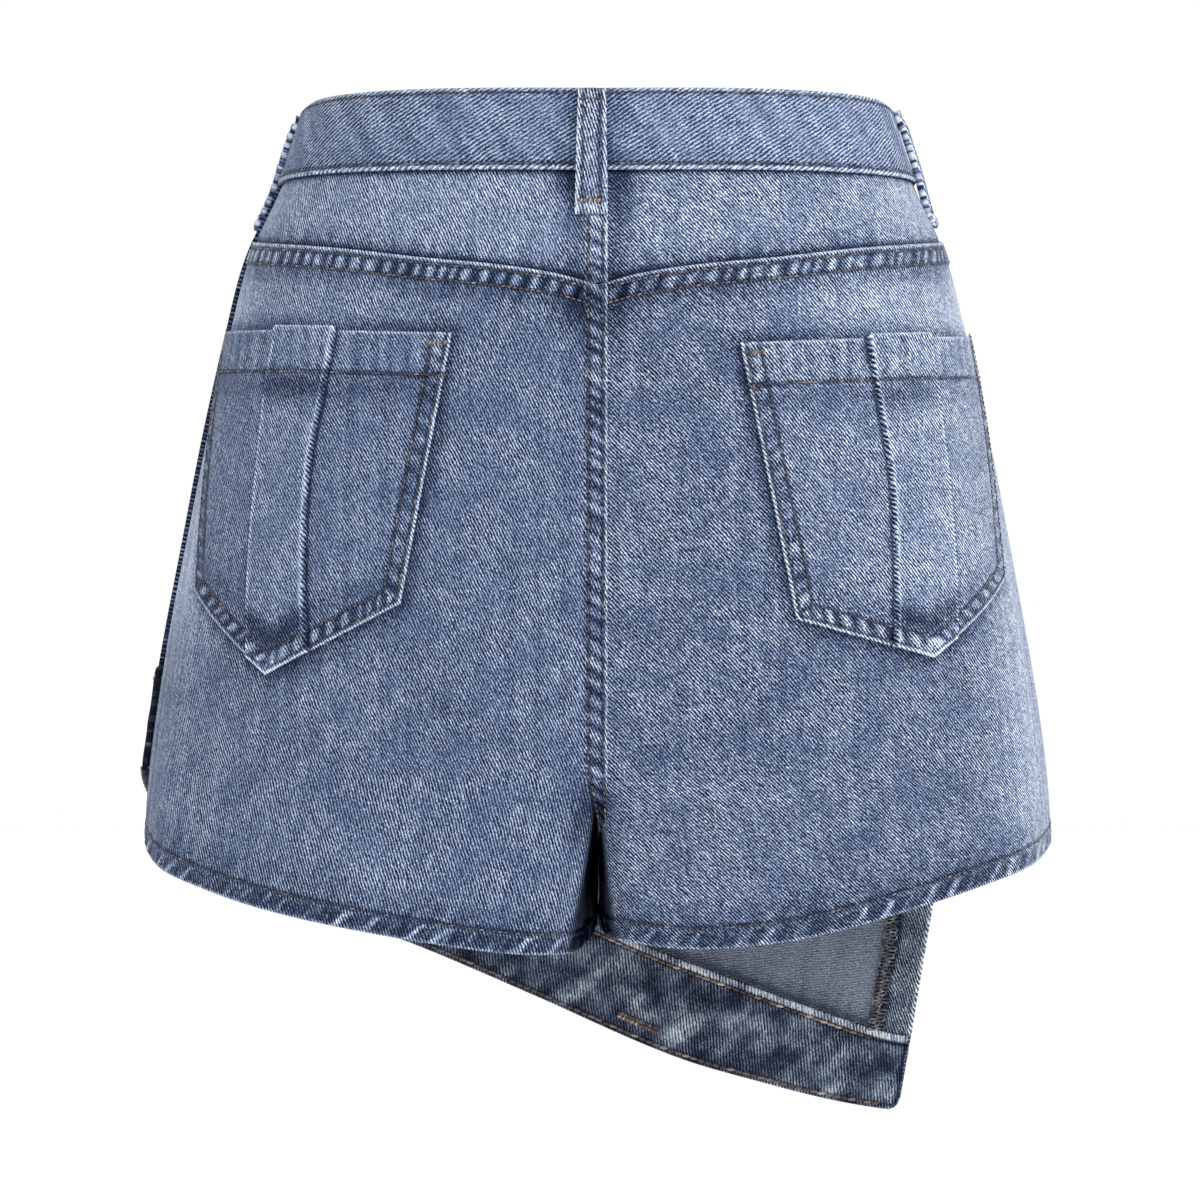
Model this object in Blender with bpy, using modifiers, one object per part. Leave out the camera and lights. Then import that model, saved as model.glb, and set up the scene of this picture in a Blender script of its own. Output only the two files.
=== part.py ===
"""A denim skort in its worn form: high-waisted shorts whose front is covered by a wrap-over
apron. The apron is caught in the left side seam and under the waistband, runs round the front to
a free edge on the right, and ends below in a slanting band that reaches past the legs.

Sizes are in millimetres and turn into metres where a mesh is made. +Z is up, the front faces -Y
and the wearer's left is +X. The origin is the middle of the waist opening, level with the top of
the waistband at the centre back.

Places on the cloth are given by a height and by a share of a half round: 0 at the centre back (or
the inseam, on a leg), 1 at the side seam and 2 at the centre front. Places on the apron and the
waistband are given by an angle about the waist: 0 at the centre back, 90 at the left side seam,
180 at the centre front and 270 at the right side seam.
"""

import math

import bmesh
import bpy
from mathutils import Matrix, Vector

MM = 0.001
COLLECTION = "denim_skort"

# Cloth and seams
DENIM = 1.6            # wall of one layer of heavy denim
FOLDED = 3.2           # two layers: the waistband, the apron's band and the turned hems
SEAM = 0.3             # space between two pieces that are sewn edge to edge
SEAM_SHARE = 0.0016    # half the space at a side seam, as a share of a half round
LAID_ON = 0.4          # space under a piece that lies on a panel
DIAGONAL = math.sqrt(0.5)
WELD = 0.00001         # metres: points closer than this are one
LEFT, RIGHT = 1, -1

# Horizontal sections of the worn form: the side seams flare, the seat is fuller than the front,
# and the centre back seam lies in a slight hollow.
FORM = (
    # height, half_width, back_depth, front_depth, hollow
    (0, 127.2, 88.0, 84.0, 0.0),
    (-33, 138.2, 95.0, 89.0, 0.0),
    (-65, 152.6, 102.5, 93.0, 0.5),
    (-98, 161.2, 108.0, 96.0, 1.2),
    (-144, 171.4, 114.0, 99.0, 2.2),
    (-190, 180.2, 117.5, 101.0, 3.2),
    (-236, 188.9, 118.5, 102.0, 4.0),
    (-276, 195.2, 116.5, 102.5, 4.0),
    (-303, 198.0, 113.5, 102.5, 3.0),
    (-323, 198.6, 111.0, 102.0, 2.0),
    (-365, 199.5, 107.5, 101.0, 0.5),
    (-452, 198.0, 104.0, 97.0, 0.0),
)
SQUARENESS = 0.05      # how far a section swells past an ellipse between back and side
HOLLOW_WIDTH = 28.0    # half width of the centre back hollow

# Soft folds of the worn cloth, by angle; every layer follows them
FOLDS = (
    # angle, height where it starts, height where it is fullest, rise, width in degrees
    (36, -235, -350, 1.4, 9),
    (64, -205, -335, 2.0, 8),
    (113, -180, -330, 2.0, 9),
    (141, -225, -385, 2.6, 8),
    (169, -250, -425, 2.0, 7),
    (199, -235, -435, 2.8, 8),
    (222, -150, -330, 1.6, 7),
    (297, -200, -330, 2.0, 8),
    (327, -240, -350, 1.5, 9),
)

# Edges and seams by share of a half round
YOKE_SEAM = (
    # share, height: from the point at the centre back up to the side seam
    (0.0, -83.8), (0.08, -79.0), (0.20, -75.0), (0.35, -71.7), (0.56, -66.2), (1.0, -57.7),
)
BACK_HEM = (
    # share, height on the left leg, height on the right leg
    (0.0, -363.8, -357.8), (0.1, -362.8, -360.8), (0.2, -360.0, -360.4), (0.3, -356.4, -357.6),
    (0.4, -352.4, -352.6), (0.5, -348.0, -346.4), (0.6, -343.0, -340.4), (0.7, -337.0, -334.4),
    (0.85, -328.0, -326.0), (1.0, -320.0, -320.0),
)
FRONT_HEM = (
    # share, height on the left leg, height on the right leg
    (0.0, -353.0, -353.0), (0.2, -354.0, -354.0), (0.5, -345.0, -345.0), (0.75, -331.0, -331.0),
    (1.0, -320.0, -320.0),
)
INSEAM_FOOT = -356.0   # height of the hem at the inseam
HEM_DEPTH = 10.5       # the turned and stitched edge of each leg

# Waistband by angle: it dips towards the front
WAIST_TOP = ((0, 0.0), (60, 0.8), (90, -1.4), (180, -5.0))
WAIST_FOOT = ((0, -35.2), (90, -33.2), (180, -39.0))
BAND_PROUD = 2.4       # how far its face stands off the form
BAND_FROM = 213.0      # angle of the hidden end, under the lap
BAND_LAP = 250.0       # angle of the end that shows, above the apron's free edge
BAND_RAMP = 40.0       # degrees over which the two ends part before they lie on each other

# Crotch and legs: each centre seam runs down a panel's inner edge, then curves under to the inseam
CROTCH = -320.0        # height of the lowest point of the crotch seam
BACK_TURN = -290.0     # height at which the centre back seam starts to curve under
FRONT_TURN = -276.0    # the same at the centre front
INSEAM_DEPTH = -4.0    # where the inseams lie, front to back
PARTING = {LEFT: 10.5, RIGHT: 6.2}   # distance of each leg from the middle at its hem
PARTING_FOOT = -365.0  # height at which that distance is reached
INSEAM_PARTING = 0.12  # share of that distance that is left between the legs at their inseams
EDGE_ROUNDING = 21.0   # radius between a leg's outer and inner faces, at the same height

# Apron
APRON_GAP = ((-35, 0.4), (-80, 0.9), (-450, 1.4))     # height, space between it and the shorts
FREE_EDGE_GAP = 2.7    # further space at its free edge, over the turning
FREE_EDGE_LIFT = (13, 30)   # degrees from the free edge where that space is full, and where it ends
APRON_LEFT = 88.5      # angle of the edge that is caught at the left side seam
FREE_EDGE = (
    # height, angle
    (-35, 250.0), (-120, 245.0), (-200, 238.5), (-280, 232.0), (-354, 225.8), (-450, 220.4),
)
SLANT = (
    # angle, height of the lower edge
    (88.5, -291.0), (120, -324.0), (140, -353.0), (157.5, -376.8), (171.5, -398.2),
    (190, -426.1), (203, -439.4), (213, -446.5), (222, -449.5), (250, -450.0),
)
SLANT_BAND = ((88, 47.0), (190, 47.0), (207, 42.0), (222, 35.5), (250, 35.5))  # angle, band height
TURNING = 19.0         # width of the turned edge inside the free edge

# Back pockets: distance along the cloth from the centre back seam, and height
POCKET_CORNERS = {
    LEFT: {"inner top": (60.5, -103.9), "outer top": (205.5, -98.0), "inner foot": (82.0, -217.0),
           "point": (142.0, -247.0), "outer foot": (192.0, -210.8)},
    RIGHT: {"inner top": (59.0, -108.0), "outer top": (205.0, -100.3), "inner foot": (82.6, -223.6),
            "point": (144.0, -239.8), "outer foot": (198.0, -205.6)},
}
POCKET_CLOTH = 1.7
PLEAT_RISE = 1.7       # the box pleat's folds stand this far above the pocket
PLEAT_STANDS = 1.7     # its top stands this far above the mouth
PLEAT_FOLDS = {
    # share of the way down, inner fold, outer fold: -1 is the inner edge and 1 the outer one
    LEFT: ((0.0, -0.287, 0.150), (0.2, -0.243, 0.200), (0.4, -0.200, 0.218),
           (0.6, -0.206, 0.240), (0.8, -0.245, 0.239), (1.0, -0.315, 0.208)),
    RIGHT: ((0.0, -0.223, 0.245), (0.2, -0.200, 0.266), (0.45, -0.175, 0.290),
            (0.65, -0.200, 0.291), (0.85, -0.243, 0.275), (1.0, -0.290, 0.245)),
}
PLEAT_STEP = 0.02      # width of each fold's step, as a share of half the pocket

# Belt loops: name, angle
BELT_LOOPS = (
    ("belt_loop_back", 1.1),
    ("belt_loop_side_left", 93.5),
    ("belt_loop_front_left", 148.0),
    ("belt_loop_front_right", 207.0),
    ("belt_loop_side_right", 277.0),
)
LOOP_TOP_WIDTH, LOOP_END_WIDTH = 11.6, 13.7
LOOP_CLOTH = 2.0
LOOP_HEADROOM = 1.3    # room for a belt between the loop and the waistband
LOOP_DROP = 19.0       # length of a loop below the waistband
LOOP_TACK = 4.0        # length that is sewn flat at each end
LAP_CLEARANCE = 3.0    # degrees kept between a ramp of the waistband and the end that it clears

# Tack button: radius, height above its seat
BUTTON_ANGLE = 243.5
BUTTON_PROFILE = ((0.0, 5.2), (3.4, 5.0), (3.9, 5.5), (7.2, 5.2), (8.4, 4.2), (8.5, 3.2),
                  (7.4, 2.4), (3.0, 2.2), (3.0, 0.0), (0.0, 0.0))
BUTTON_STEPS = 24

MATERIALS = {
    # name: sRGB colour, roughness, metallic
    "denim": ((0.42, 0.50, 0.64), 0.9, 0.0),
    "brass": ((0.55, 0.42, 0.24), 0.35, 1.0),
}


# --- reading the tables -------------------------------------------------------------------------

def smooth(table, at, column=1):
    """The value of a column at a place in the first column, on a smooth curve through the rows."""
    rows = sorted(table)
    if at <= rows[0][0]:
        return rows[0][column]
    if at >= rows[-1][0]:
        return rows[-1][column]
    i = max(k for k in range(len(rows) - 1) if rows[k][0] <= at)

    def slope(k):
        before, after = rows[max(k - 1, 0)], rows[min(k + 1, len(rows) - 1)]
        return (after[column] - before[column]) / (after[0] - before[0])

    (x0, x1), (y0, y1) = (rows[i][0], rows[i + 1][0]), (rows[i][column], rows[i + 1][column])
    span, s = x1 - x0, (at - x0) / (x1 - x0)
    return ((2 * s**3 - 3 * s**2 + 1) * y0 + (s**3 - 2 * s**2 + s) * span * slope(i)
            + (3 * s**2 - 2 * s**3) * y1 + (s**3 - s**2) * span * slope(i + 1))


def mix(a, b, share):
    return a + (b - a) * share


def ease(share):
    share = min(max(share, 0.0), 1.0)
    return share * share * (3 - 2 * share)


# --- the worn form ------------------------------------------------------------------------------

def fold_rise(angle, height):
    rise = 0.0
    for at, start, fullest, most, width in FOLDS:
        grown = ease((start - height) / (start - fullest))
        rise += most * grown * math.exp(-(((angle - at) / width) ** 2))
    return rise


def form_point(angle, height, out=0.0):
    """A point of the form's section at this height, moved out along the section's normal."""
    out += fold_rise(angle, height)
    half_width, hollow = smooth(FORM, height, 1), smooth(FORM, height, 4)
    depths = (smooth(FORM, height, 2), smooth(FORM, height, 3))

    def on_section(degrees):
        turn = math.radians(degrees)
        depth = depths[0] if math.cos(turn) > 0 else depths[1]
        swell = 1 + SQUARENESS * math.sin(2 * turn) ** 2
        x, y = half_width * math.sin(turn) * swell, depth * math.cos(turn) * swell
        if y > 0:
            y -= hollow * math.exp(-((x / HOLLOW_WIDTH) ** 2))
        return Vector((x, y, height))

    point = on_section(angle)
    along = on_section(angle + 0.5) - on_section(angle - 0.5)
    normal = Vector((-along.y, along.x, 0)).normalized()
    return point - normal * out if normal.dot(point) < 0 else point + normal * out


def crotch_curve(face, across):
    """Height of the crotch seam: across is 1 on the centre seam and 0 at the inseam."""
    turn = BACK_TURN if face > 0 else FRONT_TURN
    return mix(turn, CROTCH, math.sqrt(1 - min(across, 1.0) ** 2))


def parted(face, across, height):
    """How far a leg has come away from the crotch seam above it, from 0 to 1."""
    seam = crotch_curve(face, across)
    return min(max((seam - height) / (seam - PARTING_FOOT), 0.0), 1.0)


def leg_gap(side, face, across, height):
    """Distance of a leg from the middle; the legs almost touch at their inseams."""
    widest = PARTING[side] * mix(INSEAM_PARTING, 1.0, across**2)
    return mix(SEAM / 2, widest, parted(face, across, height))


def edge_radius(face, height):
    return EDGE_ROUNDING * parted(face, 1.0, height) ** 0.7


SECTIONS = {}


def section(side, face, height):
    """The outer face of one panel at one height, from its inner edge round to the side seam, with
    the distance travelled at each point. face is 1 at the back and -1 at the front."""
    key = (side, face, round(height, 3))
    if key in SECTIONS:
        return SECTIONS[key]
    gap, radius = leg_gap(side, face, 1.0, height), edge_radius(face, height)
    first_x = gap + radius * (1 - DIAGONAL)
    first = math.degrees(math.asin(first_x / smooth(FORM, height, 1)))
    outline, count = [], 80
    for k in range(count + 1):
        angle = mix(first, 90, (k / count) ** 1.4)
        angle = angle if face > 0 else 180 - angle
        point = form_point(angle if side == LEFT else 360 - angle, height)
        point.x = abs(point.x) if k else first_x
        corner = radius - (point.x - gap)
        if corner > 0:
            point.y -= face * (radius - math.sqrt(max(radius**2 - corner**2, 0)))
        outline.append(point)
    travelled = [0.0]
    for before, after in zip(outline, outline[1:]):
        travelled.append(travelled[-1] + (after - before).length)
    SECTIONS[key] = (outline, travelled)
    return SECTIONS[key]


def shorts_point(side, share, height):
    """A point of the outer face of the shorts."""
    face, along = (1, share) if share <= 1 else (-1, 2 - share)
    outline, travelled = section(side, face, height)
    wanted = along * travelled[-1]
    k = next((i for i, far in enumerate(travelled[1:], 1) if far >= wanted), len(travelled) - 1)
    step = travelled[k] - travelled[k - 1]
    point = outline[k - 1].lerp(outline[k], (wanted - travelled[k - 1]) / step if step else 0.0)
    return Vector((side * point.x, point.y, height))


def inner_leg_point(side, face, across, height):
    """A point of a leg's inner face: across is 1 on the panel's inner edge, 0 at the inseam."""
    edge = section(side, face, height)[0][0]
    radius = edge_radius(face, height)
    depth = mix(INSEAM_DEPTH + face * SEAM / 2, edge.y, across)
    into_edge = face * (depth - edge.y) + radius * DIAGONAL
    x = leg_gap(side, face, across, height)
    if into_edge > 0:
        x += radius - math.sqrt(max(radius**2 - into_edge**2, 0))
    return Vector((side * x, depth, height))


def waist_foot(side, share):
    """Height of the waistband's lower edge above this share of a half round."""
    height = WAIST_FOOT[0][1]
    at = shorts_point(side, share, height)
    depth = smooth(FORM, height, 2 if at.y > 0 else 3)
    angle = math.degrees(math.atan2(abs(at.x) / smooth(FORM, height, 1), at.y / depth))
    return smooth(WAIST_FOOT, angle)


# --- meshes ---------------------------------------------------------------------------------------

def material(name):
    found = bpy.data.materials.get(name)
    if found:
        return found
    colour, roughness, metallic = MATERIALS[name]
    made = bpy.data.materials.new(name)
    made.use_nodes = True
    shader = made.node_tree.nodes["Principled BSDF"]
    shader.inputs["Base Color"].default_value = (*(c**2.2 for c in colour), 1)
    shader.inputs["Roughness"].default_value = roughness
    shader.inputs["Metallic"].default_value = metallic
    return made


def add_object(name, mesh, finish):
    made = bpy.data.objects.new(name, mesh)
    made.data.materials.append(material(finish))
    bpy.data.collections[COLLECTION].objects.link(made)
    return made


def cloth(name, *grids, thickness=DENIM, turned_rows=0):
    """A wall of cloth: the open face through grids of points in millimetres, joined where they
    meet and thickened inwards. The last turned_rows rows are an edge of twice the thickness."""
    sheet = bmesh.new()
    turned = sheet.verts.layers.deform.verify()
    for grid in grids:
        verts = [[sheet.verts.new(point * MM) for point in row] for row in grid]
        for upper, lower in zip(verts, verts[1:]):
            for k in range(len(upper) - 1):
                sheet.faces.new((upper[k], upper[k + 1], lower[k + 1], lower[k]))
        for vert in sum(verts[len(verts) - turned_rows:], []):
            vert[turned][0] = 1.0
    bmesh.ops.remove_doubles(sheet, verts=sheet.verts, dist=WELD)
    bmesh.ops.recalc_face_normals(sheet, faces=sheet.faces)
    sheet.faces.ensure_lookup_table()
    first = sheet.faces[0]
    if first.normal.dot(first.calc_center_median() * Vector((1, 1, 0))) < 0:
        bmesh.ops.reverse_faces(sheet, faces=sheet.faces)
    mesh = bpy.data.meshes.new(name)
    sheet.to_mesh(mesh)
    sheet.free()
    mesh.shade_smooth()
    made = add_object(name, mesh, "denim")
    wall = made.modifiers.new("wall", "SOLIDIFY")
    wall.thickness = thickness * MM
    wall.offset = -1
    if turned_rows:
        group = made.vertex_groups.new(name="turned edge")
        wall.vertex_group = group.name
        wall.thickness = 2 * thickness * MM
        wall.thickness_vertex_group = 0.5
    return made


def block(name, inside, outside):
    """A closed wall between two grids of points, for cloth whose thickness changes."""
    solid = bmesh.new()
    inner = [[solid.verts.new(point * MM) for point in row] for row in inside]
    outer = [[solid.verts.new(point * MM) for point in row] for row in outside]
    rows, columns = len(inner), len(inner[0])
    for grid in (inner, outer):
        for upper, lower in zip(grid, grid[1:]):
            for k in range(columns - 1):
                solid.faces.new((upper[k], upper[k + 1], lower[k + 1], lower[k]))
    rim = ([(0, k) for k in range(columns)] + [(r, columns - 1) for r in range(1, rows)]
           + [(rows - 1, k) for k in range(columns - 2, -1, -1)]
           + [(r, 0) for r in range(rows - 2, 0, -1)])
    for (r0, k0), (r1, k1) in zip(rim, rim[1:] + rim[:1]):
        solid.faces.new((inner[r0][k0], inner[r1][k1], outer[r1][k1], outer[r0][k0]))
    bmesh.ops.recalc_face_normals(solid, faces=solid.faces)
    mesh = bpy.data.meshes.new(name)
    solid.to_mesh(mesh)
    solid.free()
    return add_object(name, mesh, "denim")


def steps(count, first=0.0, last=1.0):
    return [mix(first, last, k / count) for k in range(count + 1)]


# --- the pieces -----------------------------------------------------------------------------------

def yoke(name, side):
    grid = []
    for down in steps(3):
        grid.append([
            shorts_point(side, share, mix(waist_foot(side, share) - SEAM,
                                          smooth(YOKE_SEAM, share) + SEAM / 2, down))
            for share in steps(22, 0.0, 1 - SEAM_SHARE)
        ])
    return cloth(name, grid)


def leg_panel(name, side, face):
    """A back or a front of the shorts: the outer face from the yoke or the waistband to the hem,
    and the inner face of the leg, which hangs from the crotch seam."""
    hem, top, turn = (
        (BACK_HEM, lambda share: smooth(YOKE_SEAM, share) - SEAM / 2, BACK_TURN) if face > 0 else
        (FRONT_HEM, lambda share: waist_foot(side, 2 - share) - SEAM, FRONT_TURN)
    )
    leg = 1 if side == LEFT else 2
    foot = smooth(hem, 0.0, leg)
    turned = 1 - HEM_DEPTH / (turn - foot)
    below = steps(7, 0.0, turned - 0.005) + [turned, 1.0]
    turn_level = (top(0.0) - turn) / (top(0.0) - foot)
    levels = steps(7, 0.0, turn_level)[:-1] + [mix(turn_level, 1, down) for down in below]
    shares = [mix(s, ease(s), 0.4) * (1 - SEAM_SHARE) for s in steps(24)]
    tops = [top(share) for share in shares]
    outer = []
    for down in levels:
        heights = [mix(highest, smooth(hem, share, leg), down)
                   for share, highest in zip(shares, tops)]
        outer.append([shorts_point(side, share if face > 0 else 2 - share, height)
                      for share, height in zip(shares, heights)])
    inner = []
    for down in below:
        row = []
        for around in steps(7, 0, 90):
            across = math.cos(math.radians(around))
            height = mix(crotch_curve(face, across), mix(INSEAM_FOOT, foot, across), down)
            row.append(inner_leg_point(side, face, across, height))
        inner.append(row)
    return cloth(name, outer, inner, turned_rows=2)


def lap_over(angle):
    """How far the waistband has risen onto its own hidden end, from 0 to 1."""
    return ease((angle - (BAND_FROM - LAP_CLEARANCE - BAND_RAMP)) / BAND_RAMP)


def waistband(name):
    """One folded strip, all the way round, whose ends lap at the wearer's right."""
    start, end = BAND_FROM, BAND_LAP + 360
    half_lap = (FOLDED + SEAM) / 2
    inside, outside = [], []
    for down in steps(2):
        places = []
        for travelled in steps(96, start, end):
            angle = travelled % 360
            mirror = angle if angle <= 180 else 360 - angle
            height = mix(smooth(WAIST_TOP, mirror), smooth(WAIST_FOOT, mirror), down)
            under = 1 - ease((travelled - BAND_LAP - LAP_CLEARANCE) / BAND_RAMP)
            over = lap_over(travelled - 360)
            places.append((angle, height, BAND_PROUD - half_lap * under + half_lap * over))
        inside.append([form_point(angle, height, out - FOLDED) for angle, height, out in places])
        outside.append([form_point(angle, height, out) for angle, height, out in places])
    return block(name, inside, outside)


def pocket(name, side):
    """A five-sided patch pocket with a box pleat down its middle, laid on the back panel."""
    corner = POCKET_CORNERS[side]
    middle_top = [mix(a, b, 0.5) for a, b in zip(corner["inner top"], corner["outer top"])]
    grid = []
    for down in steps(12):
        inner = smooth(PLEAT_FOLDS[side], down, 1)
        outer = smooth(PLEAT_FOLDS[side], down, 2)
        inner_side = steps(4, -1.0, inner - 2 * PLEAT_STEP) + [inner - PLEAT_STEP]
        outer_side = [outer + PLEAT_STEP] + steps(4, outer + 2 * PLEAT_STEP, 1.0)
        on_pleat = [inner, inner / 2, 0.0, outer / 2, outer]
        row = []
        for a in inner_side + on_pleat + outer_side:
            edge = "inner" if a < 0 else "outer"
            top = [mix(m, c, abs(a)) for m, c in zip(middle_top, corner[edge + " top"])]
            foot = [mix(m, c, abs(a)) for m, c in zip(corner["point"], corner[edge + " foot"])]
            distance, height = (mix(t, f, down) for t, f in zip(top, foot))
            reach = section(side, 1, height)[1][-1]
            raised = 0.0
            if inner <= a <= outer:
                raised = PLEAT_RISE
                height += PLEAT_STANDS if down == 0 else 0.0
            at = shorts_point(side, distance / reach, height)
            along = shorts_point(side, (distance + 2) / reach, height) - at
            outward = Vector((along.y, -along.x, 0)).normalized()
            if outward.dot(Vector((at.x, at.y, 0))) < 0:
                outward = -outward
            row.append((at, outward, raised))
        grid.append(row)
    inside = [[at + outward * LAID_ON for at, outward, _ in row] for row in grid]
    outside = [[at + outward * (LAID_ON + POCKET_CLOTH + raised) for at, outward, raised in row]
               for row in grid]
    return block(name, inside, outside)


def free_edge_angle(height):
    return smooth(FREE_EDGE, height)


def apron_angle(across, height):
    return mix(APRON_LEFT, free_edge_angle(height), across)


def slant_height(across, above_band):
    """Height of the apron's lower edge, or of the top of its band, at a share of its width."""
    height = smooth(SLANT, 180)
    for _ in range(12):
        angle = apron_angle(across, height)
        height = smooth(SLANT, angle) + (smooth(SLANT_BAND, angle) if above_band else 0.0)
    return height


def apron_point(across, height, inwards=0.0):
    """A point of the apron's outer face, or that far inside it."""
    angle = apron_angle(across, height)
    full, none = FREE_EDGE_LIFT
    edge = ease((none - (free_edge_angle(height) - angle)) / (none - full))
    gap = smooth(APRON_GAP, height) + FREE_EDGE_GAP * edge
    return form_point(angle, height, gap + DENIM - inwards)


def apron_top(across):
    angle = apron_angle(across, WAIST_FOOT[1][1])
    return smooth(WAIST_FOOT, angle if angle <= 180 else 360 - angle) - SEAM


def apron(name):
    grid = []
    for down in steps(12):
        grid.append([
            apron_point(across, mix(apron_top(across), slant_height(across, True) + SEAM, down))
            for across in steps(40)
        ])
    return cloth(name, grid)


def apron_band(name):
    """The folded band along the slanting edge; it stands half a layer proud on each side."""
    grid = []
    for down in steps(2):
        row = []
        for across in steps(40):
            height = mix(slant_height(across, True), slant_height(across, False), down)
            row.append(apron_point(across, height, -(FOLDED - DENIM) / 2))
        grid.append(row)
    return cloth(name, grid, thickness=FOLDED)


def apron_turning(name):
    """The apron's free edge, turned in and left flat against its wrong side."""
    inset_far, inset_near = TURNING, 1.0
    grid = []
    for down in steps(12):
        row = []
        for inset in (inset_far, mix(inset_far, inset_near, 0.5), inset_near):
            across = 1.0
            for _ in range(3):
                height = mix(apron_top(across) - 1, slant_height(across, True) + 1, down)
                near_edge = apron_point(1.0, height) - apron_point(0.98, height)
                across = 1 - 0.02 * inset / near_edge.length
            row.append(apron_point(across, height, DENIM + SEAM))
        grid.append(row)
    return cloth(name, grid)


def belt_loop(name, angle):
    """A narrow folded strip over the waistband, sewn down at its two ends."""
    mirror = angle if angle <= 180 else 360 - angle
    top, foot = smooth(WAIST_TOP, mirror), smooth(WAIST_FOOT, mirror)
    on_apron = APRON_LEFT - 2 < angle < free_edge_angle(foot)
    seat = (smooth(APRON_GAP, foot - LOOP_DROP) + DENIM if on_apron else 0.0) + LAID_ON
    proud = BAND_PROUD + LAID_ON
    if angle < BAND_LAP:
        proud += (FOLDED + SEAM) / 2 * lap_over(angle)
    room = proud + LOOP_HEADROOM
    tail = foot - LOOP_DROP
    path = (
        # height, how far the strip's inner face stands off the form
        (top - 0.5, proud), (top - LOOP_TACK, proud), (top - 2 * LOOP_TACK, room),
        (foot + 2 * LOOP_TACK, room), (foot, mix(proud, room, 0.5)),
        (tail + 2 * LOOP_TACK, mix(seat, room, 0.3)), (tail + LOOP_TACK, seat), (tail, seat),
    )
    inside, outside = [], []
    for height, off in path:
        a_degree = (form_point(angle + 0.5, height) - form_point(angle - 0.5, height)).length
        width = mix(LOOP_END_WIDTH, LOOP_TOP_WIDTH, (height - tail) / (top - tail))
        turn = width / 2 / a_degree
        around = steps(3, -turn, turn)
        inside.append([form_point((angle + a) % 360, height, off) for a in around])
        outside.append([form_point((angle + a) % 360, height, off + LOOP_CLOTH) for a in around])
    return block(name, inside, outside)


def button(name):
    """A turned metal tack button on the waistband's lap, its back just clear of the cloth."""
    profile = bpy.data.meshes.new(name)
    points = [Vector((radius, 0, height)) * MM for radius, height in BUTTON_PROFILE]
    profile.from_pydata(points, [(k, k + 1) for k in range(len(points) - 1)], [])
    made = add_object(name, profile, "brass")
    turned = made.modifiers.new("turned", "SCREW")
    turned.axis = "Z"
    turned.steps = turned.render_steps = BUTTON_STEPS
    turned.use_merge_vertices = True
    turned.merge_threshold = WELD
    turned.use_normal_calculate = True
    mirror = 360 - BUTTON_ANGLE
    height = mix(smooth(WAIST_TOP, mirror), smooth(WAIST_FOOT, mirror), 0.5)
    face = BAND_PROUD + (FOLDED + SEAM) / 2
    seat = form_point(BUTTON_ANGLE, height, face + LAID_ON)
    outward = (form_point(BUTTON_ANGLE, height, face + 10) - seat).normalized()
    below = form_point(BUTTON_ANGLE, height - 5, face)
    above = form_point(BUTTON_ANGLE, height + 5, face)
    upright = (above - below).normalized()
    sideways = upright.cross(outward).normalized()
    normal = sideways.cross(upright).normalized()
    turn = Matrix((sideways, upright, normal)).transposed().to_4x4()
    made.matrix_world = Matrix.Translation((seat + normal * 0.3) * MM) @ turn
    return made


def main():
    for old in list(bpy.data.objects):
        bpy.data.objects.remove(old)
    bpy.context.scene.collection.children.link(bpy.data.collections.new(COLLECTION))
    waistband("waistband")
    for side, word in ((LEFT, "left"), (RIGHT, "right")):
        yoke(f"yoke_{word}", side)
        leg_panel(f"back_{word}", side, 1)
        leg_panel(f"front_{word}", side, -1)
        pocket(f"pocket_{word}", side)
    apron("apron")
    apron_band("apron_band")
    apron_turning("apron_turning")
    for name, angle in BELT_LOOPS:
        belt_loop(name, angle)
    button("waist_button")


main()
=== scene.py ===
"""The looks of a denim skort, worn form with no wearer, seen from behind in a white studio.

Sizes are in millimetres and turn into metres where a mesh is made. The back of the garment faces +Y
and the camera, and the wearer's left is +X, which is on the left of the picture.
"""

import math

import bmesh
import bpy
import numpy as np
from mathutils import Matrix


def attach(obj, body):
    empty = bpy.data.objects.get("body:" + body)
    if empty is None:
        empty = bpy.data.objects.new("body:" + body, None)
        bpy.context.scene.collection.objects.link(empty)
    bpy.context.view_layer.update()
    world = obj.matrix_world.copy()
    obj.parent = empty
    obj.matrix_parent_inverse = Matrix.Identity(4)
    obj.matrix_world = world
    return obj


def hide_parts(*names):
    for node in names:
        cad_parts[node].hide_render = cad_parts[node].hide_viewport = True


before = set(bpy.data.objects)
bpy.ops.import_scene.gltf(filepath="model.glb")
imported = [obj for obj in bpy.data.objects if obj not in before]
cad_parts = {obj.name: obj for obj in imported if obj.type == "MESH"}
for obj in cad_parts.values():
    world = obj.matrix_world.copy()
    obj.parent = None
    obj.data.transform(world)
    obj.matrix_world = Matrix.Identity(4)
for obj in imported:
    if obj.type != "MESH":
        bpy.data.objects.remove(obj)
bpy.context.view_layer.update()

# ------------------------------------------------------------------------------------------------
# Back panels
# Each is one layer of washed 12 oz denim that runs from the yoke to the hem and under the crotch to
# the inseam. Its top edge is turned over the yoke and felled with two rows of stitching, and its
# hem is turned up and stitched once, so both edges pucker and wear pale on the crests.
# ------------------------------------------------------------------------------------------------

MM = 0.001
LEFT, RIGHT = 1, -1
DENIM = 1.6            # wall of one layer
FOLDED = 3.2           # wall of two layers
SEAM = 0.3             # space between two pieces sewn edge to edge
SEAM_SHARE = 0.0016    # half of it at a side seam, as a share of a half round

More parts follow.
